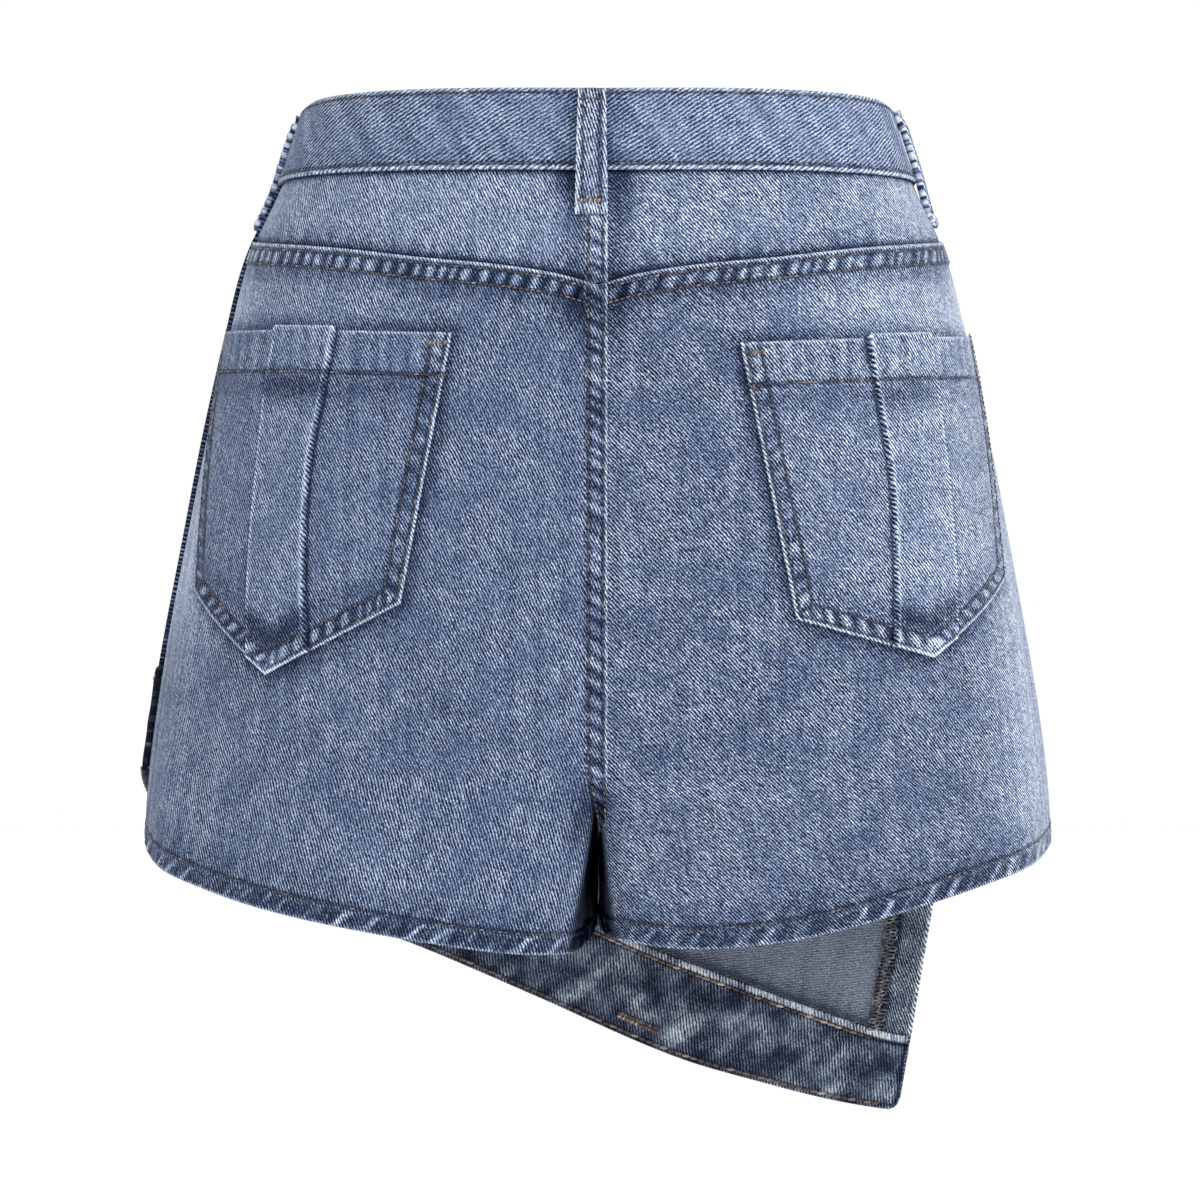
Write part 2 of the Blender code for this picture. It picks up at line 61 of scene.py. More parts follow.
FORM = (
    # height, half_width, back_depth, front_depth, hollow
    (0, 127.2, 88.0, 84.0, 0.0),
    (-33, 138.2, 95.0, 89.0, 0.0),
    (-65, 152.6, 102.5, 93.0, 0.5),
    (-98, 161.2, 108.0, 96.0, 1.2),
    (-144, 171.4, 114.0, 99.0, 2.2),
    (-190, 180.2, 117.5, 101.0, 3.2),
    (-236, 188.9, 118.5, 102.0, 4.0),
    (-276, 195.2, 116.5, 102.5, 4.0),
    (-303, 198.0, 113.5, 102.5, 3.0),
    (-323, 198.6, 111.0, 102.0, 2.0),
    (-365, 199.5, 107.5, 101.0, 0.5),
    (-452, 198.0, 104.0, 97.0, 0.0),
)
SQUARENESS = 0.05      # how far a section swells past an ellipse between back and side
HOLLOW_WIDTH = 28.0    # half width of the centre back hollow
FOLDS = (
    # angle, height where it starts, height where it is fullest, rise, width in degrees
    (36, -235, -350, 1.4, 9),
    (64, -205, -335, 2.0, 8),
    (113, -180, -330, 2.0, 9),
    (141, -225, -385, 2.6, 8),
    (169, -250, -425, 2.0, 7),
    (199, -235, -435, 2.8, 8),
    (222, -150, -330, 1.6, 7),
    (297, -200, -330, 2.0, 8),
    (327, -240, -350, 1.5, 9),
)
CREASES = (
    # angle, height of its middle, length, width, rise (a trough is minus), lean in degrees
    (71, -168, 95, 9, 0.7, 4),
    (76, -236, 120, 8, -0.6, 2),
    (82, -205, 80, 6, 0.5, -3),
    (289, -212, 120, 8, 0.7, -3),
    (283, -246, 90, 7, -0.6, 2),
    (278, -172, 70, 6, 0.5, 4),
    (16, -268, 60, 7, -0.7, 34),
    (11, -284, 36, 5, 0.6, 40),
    (346, -272, 52, 7, -0.6, -38),
    (350, -287, 32, 5, 0.5, -44),
    (27, -334, 40, 8, 0.6, 9),
    (331, -328, 44, 9, -0.5, -12),
    (104, -140, 90, 9, 0.7, 5),
    (130, -262, 110, 10, -0.9, -7),
    (156, -196, 84, 9, 0.8, 12),
    (183, -322, 120, 11, -0.9, 6),
    (206, -176, 70, 8, -0.6, -14),
    (258, -196, 92, 8, 0.6, -5),
)
YOKE_SEAM = (
    # share, height: from the point at the centre back up to the side seam
    (0.0, -83.8), (0.08, -79.0), (0.20, -75.0), (0.35, -71.7), (0.56, -66.2), (1.0, -57.7),
)
BACK_HEM = (
    # share, height on the left leg, height on the right leg
    (0.0, -363.8, -357.8), (0.1, -362.8, -360.8), (0.2, -360.0, -360.4), (0.3, -356.4, -357.6),
    (0.4, -352.4, -352.6), (0.5, -348.0, -346.4), (0.6, -343.0, -340.4), (0.7, -337.0, -334.4),
    (0.85, -328.0, -326.0), (1.0, -320.0, -320.0),
)
HEM_COLUMN = {LEFT: 1, RIGHT: 2}         # each leg's column in a table of hems
INSEAM_FOOT = -356.0   # height of the hem at the inseam
HEM_DEPTH = 10.5       # the turned edge of a leg
CROTCH = -320.0        # height of the lowest point of the crotch seam
BACK_TURN = -290.0     # height at which the centre back seam starts to curve under
FRONT_TURN = -276.0    # the same at the centre front
INSEAM_DEPTH = -4.0    # where the inseams lie, front to back
PARTING = {LEFT: 10.5, RIGHT: 6.2}       # distance of each leg from the middle at its hem
PARTING_FOOT = -365.0  # height at which that distance is reached
INSEAM_PARTING = 0.03  # share of that distance that is left between the legs at their inseams
EDGE_ROUNDING = 21.0   # radius between a leg's outer and inner faces
POCKET_CORNERS = {
    # distance from the centre back seam, and height
    LEFT: {"inner top": (60.5, -103.9), "outer top": (205.5, -98.0), "inner foot": (82.0, -217.0),
           "point": (142.0, -247.0), "outer foot": (192.0, -210.8)},
    RIGHT: {"inner top": (59.0, -108.0), "outer top": (205.0, -100.3), "inner foot": (82.6, -223.6),
            "point": (144.0, -239.8), "outer foot": (198.0, -205.6)},
}
FELL = 9.0             # a felled seam's second row, from its folded edge
FELL_RISE = 0.9        # a felled seam's extra layers
FELL_END = 2.2         # the width over which they end, below the second row
FIRST_ROW = 2.6        # its first row, from the folded edge
ROW_SINK = 0.3         # how deep a row of stitches pulls the cloth in
HEM_RISE = 0.25        # a turned hem's extra layer
HEM_ROW = 8.8          # the hem's one row, from the edge
NO_SEAM = 999.0        # distance to a seam where there is none
WELD = 0.00002         # metres: points closer than this are one

# Marks of making and wear, as (distance from the edge, width, strength). A lift is in millimetres.
# A fade is a share of the way from raw indigo to white: crests wear pale, and grooves keep dye. Some
# fades also hold painted shade and painted light, each said where it is made
HEM_LIFTS = ((0.0, 0.5, -0.5), (HEM_ROW, 0.8, -ROW_SINK))
HEM_FADES = ((0.4, 0.9, 0.18), (HEM_ROW + 0.3, 1.2, -0.30))
FELL_LIFTS = ((0.0, 0.4, -0.45), (1.0, 0.9, 0.35), (FIRST_ROW, 0.7, -ROW_SINK),
              (FELL, 0.8, -ROW_SINK))
FELL_FADES = ((0.7, 0.7, 0.30), (FIRST_ROW, 0.8, -0.36), (FELL, 0.9, -0.32))
CREASE_FADE = 0.10     # how much paler the cloth is on a crease 1 mm high
SHADED = 0.85          # painted shade: how much darker a leg is on its inner side, where shade falls between the legs


def smooth(table, at, column=1):
    """A column's value at places in the first column, on a smooth curve through the rows."""
    rows = np.array(sorted(table), float)
    x, y = rows[:, 0], rows[:, column]
    before = np.maximum(np.arange(len(x)) - 1, 0)
    after = np.minimum(np.arange(len(x)) + 1, len(x) - 1)
    slope = (y[after] - y[before]) / (x[after] - x[before])
    at = np.clip(at, x[0], x[-1])
    k = np.clip(np.searchsorted(x, at, side="right") - 1, 0, len(x) - 2)
    span = x[k + 1] - x[k]
    s = (at - x[k]) / span
    return ((2 * s**3 - 3 * s**2 + 1) * y[k] + (s**3 - 2 * s**2 + s) * span * slope[k]
            + (3 * s**2 - 2 * s**3) * y[k + 1] + (s**3 - s**2) * span * slope[k + 1])


def mix(a, b, share):
    return a + (b - a) * share


def ease(share):
    share = np.clip(share, 0.0, 1.0)
    return share * share * (3 - 2 * share)


def bump(distance, width):
    """1 at no distance, falling softly to nothing."""
    return np.exp(-((distance / width) ** 2))


def between(place, start, end):
    """0 up to start and 1 from end on, with a soft way from one to the other."""
    return ease((place - start) / (end - start))


def marks(distance, rows):
    """The sum of soft marks: the distance of each one's middle, its width and its strength."""
    return sum(strength * bump(distance - middle, width) for middle, width, strength in rows)


def fold_rise(angle, height):
    """How far the soft folds lift the cloth at a place on the form."""
    rise = 0.0
    for at, start, fullest, most, width in FOLDS:
        rise = rise + most * ease((start - height) / (start - fullest)) * bump(angle - at, width)
    return rise


def on_section(angle, height):
    """x and y on a level section of the form, without its folds."""
    turn = np.radians(angle)
    depth = np.where(np.cos(turn) > 0, smooth(FORM, height, 2), smooth(FORM, height, 3))
    swell = 1 + SQUARENESS * np.sin(2 * turn) ** 2
    x = smooth(FORM, height, 1) * np.sin(turn) * swell
    y = depth * np.cos(turn) * swell
    return x, np.where(y > 0, y - smooth(FORM, height, 4) * bump(x, HOLLOW_WIDTH), y)


def form_point(angle, height, out=0.0):
    """Points of the worn form by angle and height, moved out along its level normal."""
    angle, height = np.broadcast_arrays(np.asarray(angle, float), np.asarray(height, float))
    x, y = on_section(angle, height)
    x0, y0 = on_section(angle - 0.5, height)
    x1, y1 = on_section(angle + 0.5, height)
    across, along = y0 - y1, x1 - x0
    out = (out + fold_rise(angle, height)) / np.hypot(across, along)
    out = np.where(across * x + along * y < 0, -out, out)
    return np.stack((x + across * out, y + along * out, height), axis=-1)


def angle_of(points):
    """Angle about the waist of points near the form."""
    x, y, height = points[..., 0], points[..., 1], points[..., 2]
    depth = np.where(y > 0, smooth(FORM, height, 2), smooth(FORM, height, 3))
    return np.degrees(np.arctan2(x / smooth(FORM, height, 1), y / depth)) % 360


def crease_rise(points):
    """Smaller creases, each a soft ridge or trough of its own length, width and lean."""
    angle, height = angle_of(points), points[..., 2]
    reach = np.hypot(points[..., 0], points[..., 1])
    rise = np.zeros(angle.shape)
    for at, middle, length, width, most, lean in CREASES:
        sideways = np.radians(angle - at) * reach
        up = height - middle
        turn = math.radians(lean)
        along = up * math.cos(turn) + sideways * math.sin(turn)
        off = sideways * math.cos(turn) - up * math.sin(turn)
        rise += most * bump(along, length / 2) * bump(off, width)
    return rise


def crotch_curve(face, across):
    """Height of the crotch seam: across is 1 on the panel's inner edge, 0 at the inseam."""
    turn = BACK_TURN if face > 0 else FRONT_TURN
    return mix(turn, CROTCH, np.sqrt(1 - np.minimum(across, 1.0) ** 2))


def parted(face, across, height):
    """How far the legs have parted, from 0 at the crotch seam to 1 at the foot."""
    seam = crotch_curve(face, across)
    return np.clip((seam - height) / (seam - PARTING_FOOT), 0, 1)


def leg_gap(side, face, across, height):
    """Distance of a leg from the middle; the legs almost touch at their inseams."""
    widest = PARTING[side] * mix(INSEAM_PARTING, 1.0, across**2)
    return mix(SEAM / 2, widest, parted(face, across, height))


def edge_radius(face, height):
    """Radius at this height between a leg's outer and inner faces."""
    return EDGE_ROUNDING * parted(face, 1.0, height) ** 0.7


OUTLINE_TOP = -18.0
OUTLINE_ROWS = 356
OUTLINE_COLUMNS = 481
OUTLINE_SAMPLES = 301
OUTLINE_PACKING = 1.4  # above 1, samples lie closer together towards the inner edge


def panel_outline(side, face):
    """x, y and distance from the inner edge of a panel's outer face, on an even grid of heights
    (1 mm apart) and of shares of its width."""
    height = OUTLINE_TOP - np.arange(OUTLINE_ROWS)[:, None]
    gap, radius = leg_gap(side, face, 1.0, height), edge_radius(face, height)
    first_x = gap + radius * (1 - math.sqrt(0.5))
    first = np.degrees(np.arcsin(first_x / smooth(FORM, height, 1)))
    angle = mix(first, 90, np.linspace(0, 1, OUTLINE_SAMPLES)[None] ** OUTLINE_PACKING)
    angle = angle if face > 0 else 180 - angle
    points = form_point(angle if side == LEFT else 360 - angle, height + 0 * angle)
    x, y = np.abs(points[..., 0]), points[..., 1]
    x[:, 0:1] = first_x
    corner = np.clip(radius - (x - gap), 0, radius)
    y = y - face * (radius - np.sqrt(np.maximum(radius**2 - corner**2, 0)))
    steps = np.hypot(np.diff(x), np.diff(y))
    travelled = np.concatenate((0 * height, np.cumsum(steps, axis=1)), axis=1)
    shares = np.linspace(0, 1, OUTLINE_COLUMNS)
    even = [[np.interp(shares * far[-1], far, values) for far, values in zip(travelled, grid)]
            for grid in (x, y, travelled)]
    return np.array(even)


OUTLINES = {(side, face): panel_outline(side, face) for side in (LEFT, RIGHT) for face in (1, -1)}


def on_outline(side, face, share, height):
    """x, y and distance at places on a panel."""
    row = np.clip(OUTLINE_TOP - height, 0, OUTLINE_ROWS - 1.001)
    column = np.clip(share, 0, 1) * (OUTLINE_COLUMNS - 1.001)
    r, c = row.astype(int), column.astype(int)
    down, along = row - r, column - c
    grid = OUTLINES[side, face]
    upper = mix(grid[:, r, c], grid[:, r, c + 1], along)
    lower = mix(grid[:, r + 1, c], grid[:, r + 1, c + 1], along)
    return mix(upper, lower, down)


def shorts_point(side, share, height):
    """Points of the shorts' outer face: share is 0 at the centre back, 1 at the side seam, 2 at
    the centre front."""
    share, height = np.broadcast_arrays(np.asarray(share, float), np.asarray(height, float))
    back = on_outline(side, 1, share, height)
    front = on_outline(side, -1, 2 - share, height)
    x, y, _ = np.where(share <= 1, back, front)
    return np.stack((side * x, y, height), axis=-1)


def inner_leg_point(side, face, across, height):
    """Points of a leg's inner face: across is 1 on the panel's inner edge, 0 at the inseam."""
    edge_y = on_outline(side, face, 0 * height, height)[1]
    radius = edge_radius(face, height)
    depth = mix(INSEAM_DEPTH + face * SEAM / 2, edge_y, across)
    into = np.clip(face * (depth - edge_y) + radius * math.sqrt(0.5), 0, radius)
    x = leg_gap(side, face, across, height) + radius - np.sqrt(np.maximum(radius**2 - into**2, 0))
    return np.stack((side * x, depth, height), axis=-1)


SEAM_REACH = 6000.0    # the longest way along which puckers are laid out
SEAM_START = 1500.0    # how far before zero they start


def roping(along, pitch, seed):
    """Uneven crests and hollows, from 1 to -1, where a seam puckers between its stitches."""
    rng = np.random.default_rng(seed)
    count = int(SEAM_REACH / pitch)
    turns = np.cumsum(rng.uniform(0.5, 1.5, count)) * pitch / 2
    phase = np.interp(along + SEAM_START, turns, np.arange(count))
    height = rng.uniform(0.45, 1.0, count)
    return np.sin(np.pi * phase) * height[np.clip(phase.astype(int), 0, count - 1)]


def streaks(along, height, seed, spacing=7.0, waves=7):
    """Faint upright streaks of wear, from -1 to 1, that come and go along their length."""
    rng = np.random.default_rng(seed)
    total = np.zeros(np.broadcast(along, height).shape)
    for _ in range(waves):
        pace = 2 * math.pi / (spacing * rng.uniform(0.5, 2.2))
        start, sway = rng.uniform(0, 6.28, 2)
        fade_in = 0.5 + 0.5 * np.sin(height / rng.uniform(25, 60) + sway)
        total = total + np.sin(along * pace + start + 0.012 * height) * fade_in
    return total / 4


def outline_distance(along, height, corners):
    """Distance outside (or, as a minus, inside) a closed outline of corners."""
    nearest = np.full(np.shape(along), 1e9)
    inside = np.zeros(np.shape(along), bool)
    for (x0, y0), (x1, y1) in zip(corners, corners[1:] + corners[:1]):
        dx, dy = x1 - x0, y1 - y0
        t = np.clip(((along - x0) * dx + (height - y0) * dy) / (dx * dx + dy * dy), 0, 1)
        nearest = np.minimum(nearest, np.hypot(along - x0 - t * dx, height - y0 - t * dy))
        crossing = (y0 > height) != (y1 > height)
        inside ^= crossing & (along < x0 + (height - y0) * dx / (dy if dy else 1e-9))
    return np.where(inside, -nearest, nearest)


def cloth_mesh(name, *patches, facing_in=False):
    """A mesh through grids of points, joined where they meet and then lifted along its normals.
    Each patch has points, place (where each lies on the flat cloth), lift, fade and turned."""
    points, faces, start = [], [], 0
    values = {"lift": [], "fade": [], "turned": []}
    places = []
    for patch in patches:
        rows, columns = patch["points"].shape[:2]
        index = start + np.arange(rows * columns).reshape(rows, columns)
        faces.append(np.stack((index[:-1, :-1], index[:-1, 1:], index[1:, 1:], index[1:, :-1]),
                              axis=-1).reshape(-1, 4))
        points.append(patch["points"].reshape(-1, 3))
        places.append(patch["place"].reshape(-1, 2))
        for label in values:
            level = patch.get(label, 0.0)
            values[label].append(np.broadcast_to(level, (rows, columns)).ravel())
        start += rows * columns
    faces = np.concatenate(faces)
    mesh = bpy.data.meshes.new(name)
    mesh.from_pydata(np.concatenate(points) * MM, [], faces.tolist())
    flat = mesh.uv_layers.new(name="cloth")
    flat.uv.foreach_set("vector", (np.concatenate(places) * MM)[faces.ravel()].ravel())
    for label, levels in values.items():
        attribute = mesh.attributes.new(label, "FLOAT", "POINT")
        attribute.data.foreach_set("value", np.concatenate(levels).astype(np.float32))
    sheet = bmesh.new()
    sheet.from_mesh(mesh)
    bmesh.ops.remove_doubles(sheet, verts=sheet.verts, dist=WELD)
    bmesh.ops.recalc_face_normals(sheet, faces=sheet.faces)
    sheet.faces.ensure_lookup_table()
    first = sheet.faces[0]
    middle = first.calc_center_median()
    faces_in = first.normal.x * middle.x + first.normal.y * middle.y < 0
    if faces_in != facing_in:
        bmesh.ops.reverse_faces(sheet, faces=sheet.faces)
    sheet.normal_update()
    layer = sheet.verts.layers.float["lift"]
    moves = [vert.normal * vert[layer] * MM for vert in sheet.verts]
    for vert, move in zip(sheet.verts, moves):
        vert.co += move
    sheet.to_mesh(mesh)
    sheet.free()
    mesh.shade_smooth()
    return mesh


def placed(name, data):
    """A new object of the scene with this mesh, curve, lamp or camera."""
    made = bpy.data.objects.new(name, data)
    bpy.context.scene.collection.objects.link(made)
    return made


def cloth_piece(name, mesh, outer, inner, thickness):
    """An object with this mesh, thickened inwards; where turned is 1 the wall is twice as thick."""
    made = placed(name, mesh)
    mesh.materials.append(outer)
    mesh.materials.append(inner)
    wall = made.modifiers.new("wall", "SOLIDIFY")
    wall.thickness = 2 * thickness * MM
    wall.offset = -1
    wall.material_offset = 1
    turned = np.zeros(len(mesh.vertices))
    mesh.attributes["turned"].data.foreach_get("value", turned)
    group = made.vertex_groups.new(name="turned edge")
    group.add(np.flatnonzero(turned > 0.5).tolist(), 1.0, "REPLACE")
    wall.vertex_group = group.name
    wall.thickness_vertex_group = 0.5
    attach(made, "root")
    return made


def linear(colour):
    """A hex colour as linear red, green, blue and alpha."""
    channels = [int(colour[k:k + 2], 16) / 255 for k in (1, 3, 5)]
    return [c / 12.92 if c <= 0.04045 else ((c + 0.055) / 1.055) ** 2.4 for c in channels] + [1.0]


def give(tree, node, inputs):
    """Sets a node's inputs, each to a value or to a link from a node or one of its outputs."""
    for socket, value in inputs.items():
        if isinstance(value, bpy.types.Node):
            value = value.outputs[0]
        if isinstance(value, bpy.types.NodeSocket):
            tree.links.new(value, node.inputs[socket])
        else:
            node.inputs[socket].default_value = value


def add(tree, kind, inputs=(), stops=(), **settings):
    """Adds a node with its settings, its inputs and a colour ramp's (position, hex colour) stops."""
    made = tree.nodes.new(kind)
    for label, value in settings.items():
        setattr(made, label, value)
    for k, (position, colour) in enumerate(stops):
        elements = made.color_ramp.elements
        element = elements[k] if k < 2 else elements.new(position)
        element.position = position
        element.color = linear(colour)
    give(tree, made, dict(inputs))
    return made


def new_material(name):
    """A new material, with its node tree and its shader."""
    made = bpy.data.materials.new(name)
    made.use_nodes = True
    return made, made.node_tree, made.node_tree.nodes["Principled BSDF"]


FACE_INDIGO = (
    (0.0, "#070c1a"), (0.16, "#1a2645"), (0.34, "#32415f"), (0.5, "#576683"),
    (0.66, "#8090ab"), (0.82, "#a6b3ca"), (1.0, "#d6deea"),
)
BACK_WEFT = (
    (0.0, "#232a36"), (0.3, "#535b6a"), (0.55, "#7e8695"), (0.8, "#a7adb9"), (1.0, "#d3d6dc"),
)
SLUB = 0.05            # how much the uneven warp yarns show
DULL_FADE = (-0.70, -0.45)               # where the fade holds deep painted shade, the cloth's shine is taken away too, so that it stays dark
SHINE = (("Specular IOR Level", 0.15), ("Sheen Weight", 0.05))


def denim(name, slant, level, stops=FACE_INDIGO, contrast=0.92, pitch=1.22, cloud=0.08,
          cloud_size=30, grain=1.2):
    """Washed denim, a cotton twill of indigo warp over white weft: matt, with fine slanting lines
    that pale flecks break up. The lines lean at slant degrees from the level, seen on the flat
    cloth with +X to the left; level is how far the wash has taken it, from 0 (raw) to 1 (bleached).
    They are 1.2 mm apart, where real ones are 1.0, so that they show from two metres."""
    made, tree, shader = new_material(name)
    place = add(tree, "ShaderNodeUVMap", uv_map="cloth")
    turned = add(tree, "ShaderNodeVectorRotate",
                 {"Vector": place, "Axis": (0, 0, 1), "Angle": -math.radians(slant)},
                 rotation_type="AXIS_ANGLE")
    grains = {}
    for label, source, size, detail, drawn_out in (
            # what it is, where it lies, its size in mm, its detail, and how long it is each way
            ("wander", place, 14, 1.0, (1, 1, 1)),
            ("yarns", turned, 0.9, 1.0, (2.2, 1, 1)),
            ("zones", place, 18, 2.0, (1, 1, 1)),
            ("flecks", place, 0.62, 1.0, (1, 1.5, 1)),
            ("slubs", place, 2.6, 2.0, (1, 12, 1)),
            ("clouds", place, cloud_size, 3.0, (1, 1, 1))):
        scaled = add(tree, "ShaderNodeVectorMath", {0: source, 1: [1 / far for far in drawn_out]},
                     operation="MULTIPLY")
        grains[label] = add(tree, "ShaderNodeTexNoise",
                            {"Vector": scaled, "Scale": 1000 / size, "Detail": detail})
    across_lines = add(tree, "ShaderNodeSeparateXYZ", {0: turned}).outputs["Y"]
    turns = add(tree, "ShaderNodeMath", {0: across_lines, 1: 2 * math.pi / (pitch * MM)},
                operation="MULTIPLY")
    for label, sway in (("wander", 7.0), ("yarns", 5.5)):
        turns = add(tree, "ShaderNodeMath", {0: grains[label], 1: sway, 2: turns},
                    operation="MULTIPLY_ADD")
    twill = add(tree, "ShaderNodeMath", {0: turns}, operation="SINE")
    strength = add(tree, "ShaderNodeMapRange", {"Value": grains["zones"], "From Min": 0.38,
                   "From Max": 0.58, "To Min": 0.62, "To Max": 1.0})
    woven = add(tree, "ShaderNodeMath", {0: twill, 1: strength}, operation="MULTIPLY")
    fade = add(tree, "ShaderNodeAttribute", attribute_name="fade").outputs["Fac"]
    tone = add(tree, "ShaderNodeMath", {0: fade, 1: level - (grain + SLUB + cloud) / 2},
               operation="ADD")
    for part, share in ((woven, contrast / 2), (grains["flecks"], grain), (grains["slubs"], SLUB),
                        (grains["clouds"], cloud)):
        tone = add(tree, "ShaderNodeMath", {0: part, 1: share, 2: tone}, operation="MULTIPLY_ADD")
    relief = add(tree, "ShaderNodeMath", {0: twill, 1: 0.07}, operation="MULTIPLY")
    relief = add(tree, "ShaderNodeMath", {0: grains["flecks"], 1: 0.16, 2: relief},
                 operation="MULTIPLY_ADD")
    give(tree, shader, {
        "Base Color": add(tree, "ShaderNodeValToRGB", {"Fac": tone}, stops),
        "Normal": add(tree, "ShaderNodeBump", {"Height": relief, "Strength": 0.8, "Distance": MM}),
        "Roughness": 0.88,
        "Sheen Roughness": 0.6,
    })
    for socket, most in SHINE:
        lit = add(tree, "ShaderNodeMapRange", {"Value": fade, "From Min": DULL_FADE[0],
                  "From Max": DULL_FADE[1], "To Min": 0.0, "To Max": most})
        give(tree, shader, {socket: lit})
    return made


# The left panels' twill stands more nearly upright than the right ones', as they were cut, and is
# softer to the eye; the wrong side shows the weft, a flat grey-blue with hardly a line
left_face = denim("washed denim face, left panels", 64, 0.40, contrast=0.78, grain=1.0)
right_face = denim("washed denim face, right panels", 47, 0.375)
wrong_side = denim("washed denim wrong side, weft-faced", 6, 0.45, stops=BACK_WEFT, contrast=0.30,
                   cloud=0.20, grain=1.0)
HALVES = ((LEFT, "left", left_face), (RIGHT, "right", right_face))


def stitch_tree():
    """Geometry Nodes that lay stitches along the edges of a mesh, each a short twisted length of
    thread that dips at its ends. The mesh carries outward (a direction) and tint (0 to 1)."""
    tree = bpy.data.node_groups.new("topstitching", "GeometryNodeTree")
    sockets = tree.interface
    sockets.new_socket("Geometry", in_out="INPUT", socket_type="NodeSocketGeometry")
    for label in ("Pitch", "Length", "Width", "Turn"):
        sockets.new_socket(label, in_out="INPUT", socket_type="NodeSocketFloat")
    sockets.new_socket("Seed", in_out="INPUT", socket_type="NodeSocketInt")
    sockets.new_socket("Thread", in_out="INPUT", socket_type="NodeSocketMaterial")
    sockets.new_socket("Geometry", in_out="OUTPUT", socket_type="NodeSocketGeometry")
    given = add(tree, "NodeGroupInput").outputs
    uneven = {}
    for label, low, high in (("stray", -0.12, 0.12), ("stretch", 0.86, 1.1), ("tone", 0.0, 1.0)):
        uneven[label] = add(tree, "FunctionNodeRandomValue", {2: low, 3: high, 8: given["Seed"]},
                            data_type="FLOAT").outputs[1]
    line = add(tree, "GeometryNodeMeshToCurve", {"Mesh": given["Geometry"]})
    dots = add(tree, "GeometryNodeResampleCurve", {"Curve": line, "Length": given["Pitch"]},
               mode="LENGTH")
    along = add(tree, "GeometryNodeInputTangent")
    outward = add(tree, "GeometryNodeInputNamedAttribute", {"Name": "outward"},
                  data_type="FLOAT_VECTOR")
    upright = add(tree, "FunctionNodeAlignRotationToVector", {"Vector": outward}, axis="Z")
    laid = add(tree, "FunctionNodeAlignRotationToVector", {"Rotation": upright, "Vector": along},
               axis="X", pivot_axis="Z")
    yaw = add(tree, "ShaderNodeMath", {0: given["Turn"], 1: uneven["stray"]}, operation="ADD")
    twist = add(tree, "FunctionNodeEulerToRotation",
                {0: add(tree, "ShaderNodeCombineXYZ", {"Z": yaw})})
    turned = add(tree, "FunctionNodeRotateRotation", {"Rotation": laid, "Rotate By": twist},
                 rotation_space="LOCAL")
    long = add(tree, "ShaderNodeMath", {0: given["Length"], 1: uneven["stretch"]},
               operation="MULTIPLY")
    size = add(tree, "ShaderNodeCombineXYZ", {"X": long, "Y": given["Width"], "Z": given["Width"]})
    bead = add(tree, "GeometryNodeMeshUVSphere", {"Segments": 6, "Rings": 5, "Radius": 0.5})
    round_bead = add(tree, "GeometryNodeSetShadeSmooth", {0: bead})
    laid_out = add(tree, "GeometryNodeInstanceOnPoints",
                   {"Points": dots, "Instance": round_bead, "Rotation": turned, "Scale": size})
    toned = add(tree, "GeometryNodeStoreNamedAttribute",
                {"Geometry": laid_out, "Name": "tone", "Value": uneven["tone"]},
                data_type="FLOAT", domain="INSTANCE")
    real = add(tree, "GeometryNodeRealizeInstances", {0: toned})
    thread = add(tree, "GeometryNodeSetMaterial", {"Geometry": real, "Material": given["Thread"]})
    add(tree, "NodeGroupOutput", {0: thread})
    return tree


topstitching = stitch_tree()

BRIGHT_THREAD = ((0.0, "#33271f"), (0.45, "#6b5340"), (0.8, "#977d6b"), (1.0, "#cdbbb0"))
DULL_THREAD = ((0.0, "#1b1a22"), (0.55, "#35313a"), (0.85, "#544b4e"), (1.0, "#80746f"))


def thread_material(name):
    """Polyester topstitching thread: tobacco brown where tint is 1, and stained by the indigo of
    the wash to a dull grey-brown where it is 0. Each stitch has a tone of its own."""
    made, tree, shader = new_material(name)
    tone = add(tree, "ShaderNodeAttribute", attribute_name="tone").outputs["Fac"]
    tint = add(tree, "ShaderNodeAttribute", attribute_name="tint").outputs["Fac"]
    bright = add(tree, "ShaderNodeValToRGB", {"Fac": tone}, BRIGHT_THREAD)
    dull = add(tree, "ShaderNodeValToRGB", {"Fac": tone}, DULL_THREAD)
    both = add(tree, "ShaderNodeMix", {0: tint, 6: dull, 7: bright}, data_type="RGBA")
    give(tree, shader, {"Base Color": both.outputs[2], "Roughness": 0.55, "Sheen Weight": 0.2})
    return made


brown_thread = thread_material("tobacco topstitching thread, stained by the wash")


